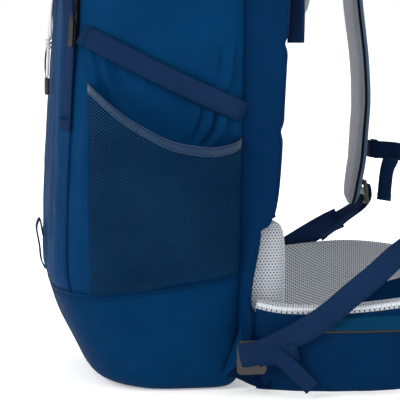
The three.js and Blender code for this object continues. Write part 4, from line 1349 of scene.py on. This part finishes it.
for side, name in SIDES:
    ahead = STRAP_AHEAD[name]
    route = ARCH + [(x, y + ahead * smooth_step(471 - z, 0, 75), z) for x, y, z in DROP]
    places, tangents = centripetal(route, STRAP_STEPS)
    lining, cover, edges = [], [], ([], [])
    for i, (place, along) in enumerate(zip(places, tangents)):
        wide, out, half, thick = strap_frame(i, place, along)
        quilt = 0.8 * noise.noise(Vector((i / STRAP_STEPS * 22, 2, side)))
        row = []
        for c in np.linspace(-1, 1, 21):
            deep = math.sqrt(max(0, 1 - abs(c) ** 5))
            depth = 0.5 * thick * (0.25 + 0.75 * deep) + quilt * deep
            row.append(place + wide * (c * half) - out * depth)
        lining.append(row)
        row = []
        for c in np.linspace(-1, 1, 21):
            deep = math.sqrt(max(0, 1 - abs(c) ** 6))
            row.append(place + wide * (c * half) + out * (0.5 * thick * (0.2 + 0.8 * deep)))
        cover.append(row)
        for k, c in enumerate((-1, 1)):
            edges[k].append(place + wide * (c * (half + 0.2)))
    body = f"shoulder_{name}"
    foam_rows = [mirror(low + [(low[-1] + high[-1]) / 2] + high[::-1] + [(low[0] + high[0]) / 2], side)
                 for low, high in zip(lining, cover)]
    for end, row in ((0, foam_rows[0]), (len(foam_rows) + 1, foam_rows[-1])):
        centre = sum(row, Vector()) / len(row)
        foam_rows.insert(end, [centre + (p - centre) * 0.02 for p in row])
    foam = grid_piece(f"shoulder_strap_foam_{name}", faced(foam_rows, side), grey_spacer,
                      closed_round=True)
    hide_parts(f"shoulder_strap_{name}")
    sleeve = []
    for i in range(12, STRAP_STEPS + 1):
        place, along = places[i], tangents[i]
        wide, out, half, thick = strap_frame(i, place, along)
        row = []
        for c in np.linspace(-1, 1, 23):
            deep = math.sqrt(max(0, 1 - abs(c) ** 6))
            height = 0.5 * thick * (0.14 + 0.86 * deep) + 0.7
            row.append(place + wide * (c * (half + 0.9)) + out * height)
        sleeve.append(mirror(row, side))
    outer = grid_piece(f"shoulder_strap_cover_{name}", faced(sleeve, side), strap_cover)
    thicken(outer, 0.001)
    trims = []
    for line in edges:
        trims.append(tube_piece("trim", mirror(line, side)[4:], 1.5, binding_black, 200, 8))
    trim = joined(f"shoulder_strap_binding_{name}", trims)
    for piece in (foam, outer, trim):
        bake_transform(piece)
    eased(f"shoulder_lock_{name}", f"shoulder_ladder_lock_{name}", dark_plastic, 0.0008)
    eased(f"base_lock_{name}", f"base_ladder_lock_{name}", dark_plastic, 0.0008)
    lifter = [(83.5, 248.2, 482), (83, 246.5, 491), (82.5, 240, 500), (84, 160, 541), (87, 149, 544), (91, 145.4, 536),
              (100, 145, 500), (108, 144.5, 440), (111, 142.5, 352)]
    turn = lambda u: (1, 0.9 * smooth_step(u, 0.6, 1), 0)
    fix(strap_piece(f"load_lifter_{name}", lifter, turn, SLIM_WEBBING, 120, hem=(0, 5), side=side),
        "pack", "webbing", f"load_lifter_{name}")

# ---------------------------------------------------------------------------------------------
# Hip wings: foam wrapped in nylon outside and spacer mesh inside. The mesh lining is rolled over
# the top edge and shows outside as a pale line; the right wing has a pocket in its outer face.
# ---------------------------------------------------------------------------------------------

WING_PATH = [(143, 98), (159, 136), (167, 180), (168, 226), (160, 275), (138, 320), (104, 350)]
WING_TOP = {"right": [(0, 94), (0.12, 90), (0.35, 91), (0.6, 97), (0.85, 103), (1, 100)],
            "left": [(0, 98), (0.2, 104), (0.35, 109), (0.6, 115), (0.8, 111), (1, 102)]}
WING_STEPS = 110
belt_nylon = woven("belt_nylon", rgb(3, 37, 67), rgb(7, 45, 77), (1300, 1300), 0.62, crumple=0.5)
white_spacer = spacer_mesh("white_spacer", rgb(208, 214, 220), rgb(196, 203, 210),
                           rgb(132, 141, 150), 3.0, 2.6, 0.14)
wing_spacer = spacer_mesh("wing_spacer", rgb(184, 188, 193), rgb(170, 175, 180),
                          rgb(84, 88, 96), 2.9, 2.5, 0.24)


def wing_frame(u):
    """A right wing at a share of its length: middle place, outward direction, foot and thickness."""
    places, tangents = WING_LINE
    at = min(WING_STEPS, max(0, u * WING_STEPS))
    k = min(WING_STEPS - 1, int(at))
    place = places[k].lerp(places[k + 1], at - k)
    along = tangents[k].lerp(tangents[k + 1], at - k)
    outward = Vector((along.y, -along.x, 0)).normalized()
    low = 5 + 25 * smooth_step(u, 0.5, 1)
    thick = 13.4 * (1 - 0.4 * smooth_step(u, 0.8, 1)) * (0.35 + 0.65 * smooth_step(u, -0.02, 0.05))
    thick *= 1 - 0.6 * smooth_step(u, 0.97, 1)
    return place, outward, low, thick


WING_LINE = centripetal([(x, y, 0) for x, y in WING_PATH], WING_STEPS)


def wing_place(name, u, v, w, out=0.0):
    """A place in a right wing: shares of its length, its height and, inner to outer, its depth."""
    place, outward, low, thick = wing_frame(u)
    up = 2 * v - 1
    z = low + (through(WING_TOP[name], u) - low) * v
    full = 0.34 + 0.66 * math.sqrt(max(0, 1 - abs(up) ** 3.2))
    soft = 0.0
    if w > 0.5:
        soft = 1.1 * noise.noise(Vector((u * 9, v * 2.2, 3)))
        soft += 0.7 * noise.noise(Vector((u * 22, v * 5, 8)))
        soft += 0.9 * math.sin(u * 46 + v * 3) * math.exp(-(((v - 0.1) / 0.2) ** 2))
    if w < 0.5:
        soft = -0.9 * noise.noise(Vector((u * 7, v * 3, 14)))
        soft += 1.6 * math.exp(-(((v - 0.52 - 0.1 * u) / 0.035) ** 2))
    sides = (w - 0.5) * 2
    made = place + outward * (sides * thick * full / 2 + sides * soft * 0.6 + out * sides)
    made.z = z
    return made


for side, name in SIDES:
    body = f"hip_{name}"
    lining, cover = [], []
    for i in range(WING_STEPS + 1):
        u = i / WING_STEPS
        spine, _, low, _ = wing_frame(u)
        high = through(WING_TOP[name], u)
        blue_up_to = min(0.75, max(0.02, (53 + (spine.y - 266) * 0.38 - low) / (high - low)))
        inner = [wing_place(name, u, blue_up_to + (0.985 - blue_up_to) * k / 30, 0, 0.3)
                 for k in range(31)]
        top_in, top_out = wing_place(name, u, 0.985, 0, 0.5), wing_place(name, u, 0.93, 1, 1.2)
        arc = []
        for a in np.linspace(0, math.pi, 7)[1:-1]:
            share = (1 - math.cos(a)) / 2
            place = top_in.lerp(top_out, share)
            place.z = top_in.z + (top_out.z - top_in.z) * share + 2.6 * math.sin(a)
            arc.append(place)
        lining.append(inner + arc + [top_out, wing_place(name, u, 0.925, 1, 0.2)])
        outer = [wing_place(name, u, v, 1, 0.5) for v in np.linspace(0.935, 0.0, 34)]
        foot = [wing_place(name, u, 0.0, 0.5), wing_place(name, u, 0.0, 0, 0.4)]
        under = [wing_place(name, u, blue_up_to * 1.02 * k / 8, 0, 0.7) for k in range(1, 9)]
        cover.append(outer + foot + under)
    for row in lining + cover:
        mirror(row, side)
    inside = grid_piece(f"hip_lining_{name}", faced(lining, -side), wing_spacer)
    outside = grid_piece(f"hip_cover_{name}", faced(cover, -side), belt_nylon)
    thicken(inside, 0.0016)
    thicken(outside, 0.0010)
    fix(inside, body, "spacer_mesh")
    fix(outside, body, "belt_fabric", f"hip_wing_{name}")
    edge = [wing_place(name, u, 0.965, 1, 0.8) for u in np.linspace(0.005, 0.99, 60)]
    roll = tube_piece(f"hip_edge_{name}", mirror(edge, side), 2.3, white_spacer, 220, 10)
    fix(roll, body, "spacer_mesh")
    seams = []
    shares = np.linspace(0.01, 0.98, 90)
    for v in (0.895, 0.06):
        points = mirror([wing_place(name, u, v, 1, 1.0) for u in shares], side)
        outs = mirror([wing_frame(u)[1] for u in shares], side)
        seams.append(stitch_row("stitch", (points, outs), navy_thread))
    shares = np.linspace(0.02, 0.8, 70)
    points = mirror([wing_place(name, u, 0.52 + 0.1 * u, 0, 0.5) for u in shares], side)
    outs = mirror([-wing_frame(u)[1] for u in shares], side)
    fix(joined(f"hip_topstitch_{name}", seams), body, "belt_fabric")
    quilt_row = stitch_row(f"hip_quilt_stitch_{name}", (points, outs), grey_thread)
    fix(quilt_row, body, "spacer_mesh")

# ---------------------------------------------------------------------------------------------
# Hip pocket: a coil zip let into the right wing, under a storm flap of smooth coated cloth.
# ---------------------------------------------------------------------------------------------

coated_teal = woven("coated_teal", rgb(8, 50, 76), rgb(12, 57, 84), (2200, 2200), 0.42, bump=0.1)


def wing_share(y):
    """The share of a wing's length at which its middle line reaches a place in Y."""
    places, _ = WING_LINE
    steps = [k / WING_STEPS for k in range(WING_STEPS + 1)]
    return float(np.interp(y, [p.y for p in places], steps))


def on_wing(y, z, out):
    """A place off the right wing's outer face."""
    u = wing_share(y)
    _, _, low, _ = wing_frame(u)
    v = (z - low) / (through(WING_TOP["right"], u) - low)
    return wing_place("right", u, v, 1, out)


# The flap's section from its sewn edge to its hem: height, and distance off the wing.
FLAP_SECTION = ((80.5, 0.4), (79.8, 1.5), (77.5, 2.1), (74.6, 1.9), (73.6, 1.5), (72.6, 1.9),
                (70, 2.5), (67.8, 2.8), (67, 2.6))
HIP_ZIP_Z = 65.6
rows = []
for y in np.linspace(148, 272, 70):
    end = smooth_step(y, 148, 153) * (1 - smooth_step(y, 267, 272))
    rows.append([on_wing(y, z, 0.5 + out * (0.4 + 0.6 * end) + 0.25 * math.sin(y * 0.21))
                 for z, out in FLAP_SECTION])
flap = thicken(grid_piece("hip_pocket_flap", faced(rows, -1), coated_teal), 0.0008)
fix(flap, "hip_right", "belt_fabric")
rows = [[on_wing(y, z, 0.9) for z in (76, 72, 69, 66, 63.5)] for y in np.linspace(154, 266, 50)]
hip_tape = thicken(grid_piece("hip_zip_tape", faced(rows, -1), zip_black), 0.0006)
fix(hip_tape, "hip_right", "zip_tape", "hip_zip_right")
coil_line = [on_wing(y, HIP_ZIP_Z, 1.5) for y in np.linspace(156, 264, 14)]
coils = []
for a, b in zip(coil_line, coil_line[1:]):
    y = (a.y + b.y) / 2
    outward = on_wing(y, HIP_ZIP_Z, 5) - on_wing(y, HIP_ZIP_Z, 1)
    coils.append(coil_teeth("coil", a, b, (0, 0, 1), outward))
fix(joined("hip_zip_coil", coils), "hip_right", "zip_tape")
hip_slider = eased("hip_zip_slider_right", "hip_slider", dark_plastic, 0.0004)
hip_slider.data.transform(Matrix.Translation((2.3 * MM, 0, 0)))
ys = np.linspace(151, 269, 60)
flap_line = [on_wing(y, 78.8, 2.4) for y in ys], [wing_frame(wing_share(y))[1] for y in ys]
fix(stitch_row("hip_flap_stitch", flap_line, navy_thread), "hip_right", "belt_fabric")

# ---------------------------------------------------------------------------------------------
# Lower shoulder webbing: 25 mm, from a ladder lock held by a nylon delta at the foot of the
# side seam, up over the hip wing to the ladder lock at the tip of the shoulder strap.
# ---------------------------------------------------------------------------------------------

LOWER_WEBBING = {
    "right": [(174, 121, 58), (179, 144, 71), (182, 165, 86), (183.5, 185, 103), (183, 210, 123),
              (178, 236, 144), (160, 258, 152)],
    "left": [(174, 121, 60), (180, 145, 80), (181, 170, 95), (181, 194, 108), (174, 215, 122),
             (158, 236, 137), (146, 246, 144)],
}
slim_thread = woven("webbing_thread", rgb(20, 36, 70), rgb(28, 46, 82), (2000, 2000), 0.6)
# The belt root's cloth is darker than the bag's nylon: painted shade for the shadow between the base and the hip wing.
root_nylon_painted_shade = woven("root_nylon_painted_shade", rgb(3, 25, 52), rgb(6, 31, 60), (1300, 1300), 0.6)
for side, name in SIDES:
    start = [(168, 92, 45), (167.5, 80, 44.5), (170.5, 75, 44), (174, 80, 44), (175.5, 94, 47),
             (175.5, 108, 52)]
    turn = lambda u: (0.05, -0.5 * smooth_step(u, 0.1, 0.35), 1)
    route = start + LOWER_WEBBING[name]
    lower = strap_piece(f"shoulder_webbing_low_{name}", route, turn, WIDE_WEBBING, 150, side=side)
    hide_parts(f"shoulder_webbing_{name}")
    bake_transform(lower)
    x, y, z = LOWER_WEBBING[name][-1]
    lock_y = 268.6 + STRAP_AHEAD[name]
    upper = [(x + (x - 150) * 0.3, y - 7, z - 3), (x, y, z),
             ((x + 122) / 2 + 3, (y + lock_y) / 2 + 3, (z + 172) / 2 - 2), (122, lock_y - 2, 168),
             (120, lock_y + 3.4, 178), (120, lock_y + 5, 186), (120, lock_y + 7, 172),
             (121, lock_y + 2, 162), (128, lock_y - 16, 146), (133, lock_y - 34, 131),
             (136, lock_y - 46, 122)]
    turn = lambda u: (1, -0.55 * (1 - smooth_step(u, 0.0, 0.35)), 0.75 * (1 - smooth_step(u, 0.0, 0.3)))
    tail = strap_piece(f"shoulder_webbing_up_{name}", upper, turn, 22, 110, 1.5, (0, 5), side)
    fix(tail, f"shoulder_{name}", "webbing")

    rows = []
    for k in range(25):
        t = k / 24
        foot = Vector((side * (133 + 24 * t), 66 + 44 * t, 17 - 10.5 * smooth_step(t, 0.0, 0.8)))
        head = Vector((side * (138 + 17 * t), 70 + 40 * t, 30 + 30 * smooth_step(t, 0.0, 0.75)))
        row = []
        for s in np.linspace(0, 1, 21):
            place = foot.lerp(head, s)
            fold = 2.2 * math.sin(5 * t + 3.2 * s) * math.sin(math.pi * s)
            fold += 1.4 * noise.noise(Vector((t * 4, s * 3, 6)))
            place.x += side * (fold + 4 * math.sin(math.pi * s) * math.sin(math.pi * t))
            row.append(place)
        rows.append(row)
    root = grid_piece(f"belt_root_{name}", faced(rows, -side), root_nylon_painted_shade)
    thicken(root, 0.0012)
    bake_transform(root)
    low_edge, high_edge = Vector((side * 150, 60, 17)), Vector((side * 148, 81, 70))
    tip_low, tip_high = Vector((side * 168.5, 77, 36)), Vector((side * 168.5, 79, 52))
    rows = []
    for k in range(17):
        t = k / 16
        row = []
        for s in np.linspace(0, 1, 11):
            place = low_edge.lerp(high_edge, s).lerp(tip_low.lerp(tip_high, s), t)
            place.x += side * (2.4 * math.sin(math.pi * s) * math.sin(math.pi * t))
            row.append(place)
        rows.append(row)
    delta = grid_piece(f"base_delta_{name}", faced(rows, -side), base_nylon)
    fix(thicken(delta, 0.0014), "pack", "base_fabric")
    anchor = [(166, 102, 41), (171, 99.5, 41), (172.2, 103, 41), (173.5, 118, 44), (176, 134, 46.3)]
    turn = lambda u: (0, -0.1, 1)
    stub = strap_piece(f"stabiliser_{name}", anchor, turn, 17, 40, hem=(0, 6), side=side)
    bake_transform(stub)
    bar = tack("tack", (side * 177.4, 131.5, 46.2), (0, 0, 1), (0, side, 0), 15, slim_thread)
    bar.name = f"stabiliser_tack_{name}"
    fix(bar, f"hip_{name}", "webbing")
    hanging = [(171, 92, 38), (173.2, 100, 41), (176.4, 112, 42), (179.6, 126, 32),
               (181.2, 137, 21), (182, 147, 10.5)]
    turn = lambda u: (0.1, 0.72 * smooth_step(u, 0.1, 0.5), 1)
    loose = strap_piece(f"lower_webbing_tail_{name}", hanging, turn, 16, 60, 1.4, (0, 7), side)
    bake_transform(loose)

# ---------------------------------------------------------------------------------------------
# Belt buckle and webbing: 25 mm webbing from each wing to a side-release buckle in front.
# ---------------------------------------------------------------------------------------------

BELT_Y, BELT_Z = 374, 66
# Where the webbing ends on each side of the buckle's middle.
BUCKLE_END = {"right": 3, "left": 42.4}
for side, name in SIDES:
    body = f"hip_{name}"
    bends = ((BUCKLE_END[name], 0), (58, 0), (84, -3), (110, -16), (126, -31))
    route = [(x, BELT_Y + y, BELT_Z) for x, y in bends]
    belt = strap_piece(f"belt_webbing_{name}", route, lambda u: (0, 0, 1), WIDE_WEBBING, side=side)
    fix(belt, body, "webbing", f"hip_webbing_{name}")
    place = (side * 121, BELT_Y - 25.4, BELT_Z)
    bar = tack("tack", place, (0, 0, 1), (side * -0.7, 0.7, 0), 22, slim_thread)
    bar.name = f"belt_tack_{name}"
    fix(bar, body, "webbing")
for node_name in ("hip_buckle_female", "hip_buckle_male", "sternum_buckle_female", "sternum_buckle_male"):
    eased(node_name, f"{node_name}_moulding", dark_plastic, 0.0007)

# ---------------------------------------------------------------------------------------------
# Sternum strap: 20 mm webbing across the chest that slides on the shoulder straps and closes
# with a small side-release buckle. A sewn loop keeps its spare end.
# ---------------------------------------------------------------------------------------------

CHEST_Y, CHEST_Z = 298, 227
for side, name in SIDES:
    ahead = STRAP_AHEAD[name]
    bends = ((BUCKLE_END[name], 0), (60, 0), (84, -2 + 0.1 * ahead), (104, -14 + 0.8 * ahead),
             (118, -20.5 + ahead), (140, -21.5 + ahead))
    route = [(x, CHEST_Y + y, CHEST_Z) for x, y in bends]
    turn = lambda u: (0, 0, 1)
    strap = strap_piece(f"sternum_strap_{name}", route, turn, SLIM_WEBBING, side=side)
    fix(strap, "sternum", "webbing", f"sternum_webbing_{name}")
    bends = ((112, 2.6), (112, 5.2), (126, 5.4), (133, 3.0), (126, 1.6))
    keeper = [(x, CHEST_Y - 20.5 + ahead + y, CHEST_Z) for x, y in bends]
    fix(strap_piece(f"sternum_keeper_{name}", keeper, turn, 21.5, 30, 1.2, side=side),
        "sternum", "webbing")
spare = [(-88, 296, 227), (-96, 297, 221), (-104, 293, 205), (-106, 291, 186), (-107, 290, 168)]
spare_turn = lambda u: (0.5 * smooth_step(u, 0, 0.5), 0.5, 1 - smooth_step(u, 0.1, 0.6))
fix(strap_piece("sternum_spare_end", spare, spare_turn, 18, 50, 1.4, (0, 5)), "sternum", "webbing")

# ---------------------------------------------------------------------------------------------
# Haul loop: a folded webbing handle sewn at the top of the back panel.
# ---------------------------------------------------------------------------------------------

haul_route = [(x, 152, z) for x, z in ((-19, 534), (-19, 510), (-14.3, 496), (0, 489), (14.3, 496),
                                       (19, 510), (19, 534))]
haul = strap_piece("haul_handle_webbing", haul_route, lambda u: (0, 1, 0), 16, 90, 2.2, (8, 8), crown=0.4)
fix(haul, "haul_handle", "webbing", "haul_loop")
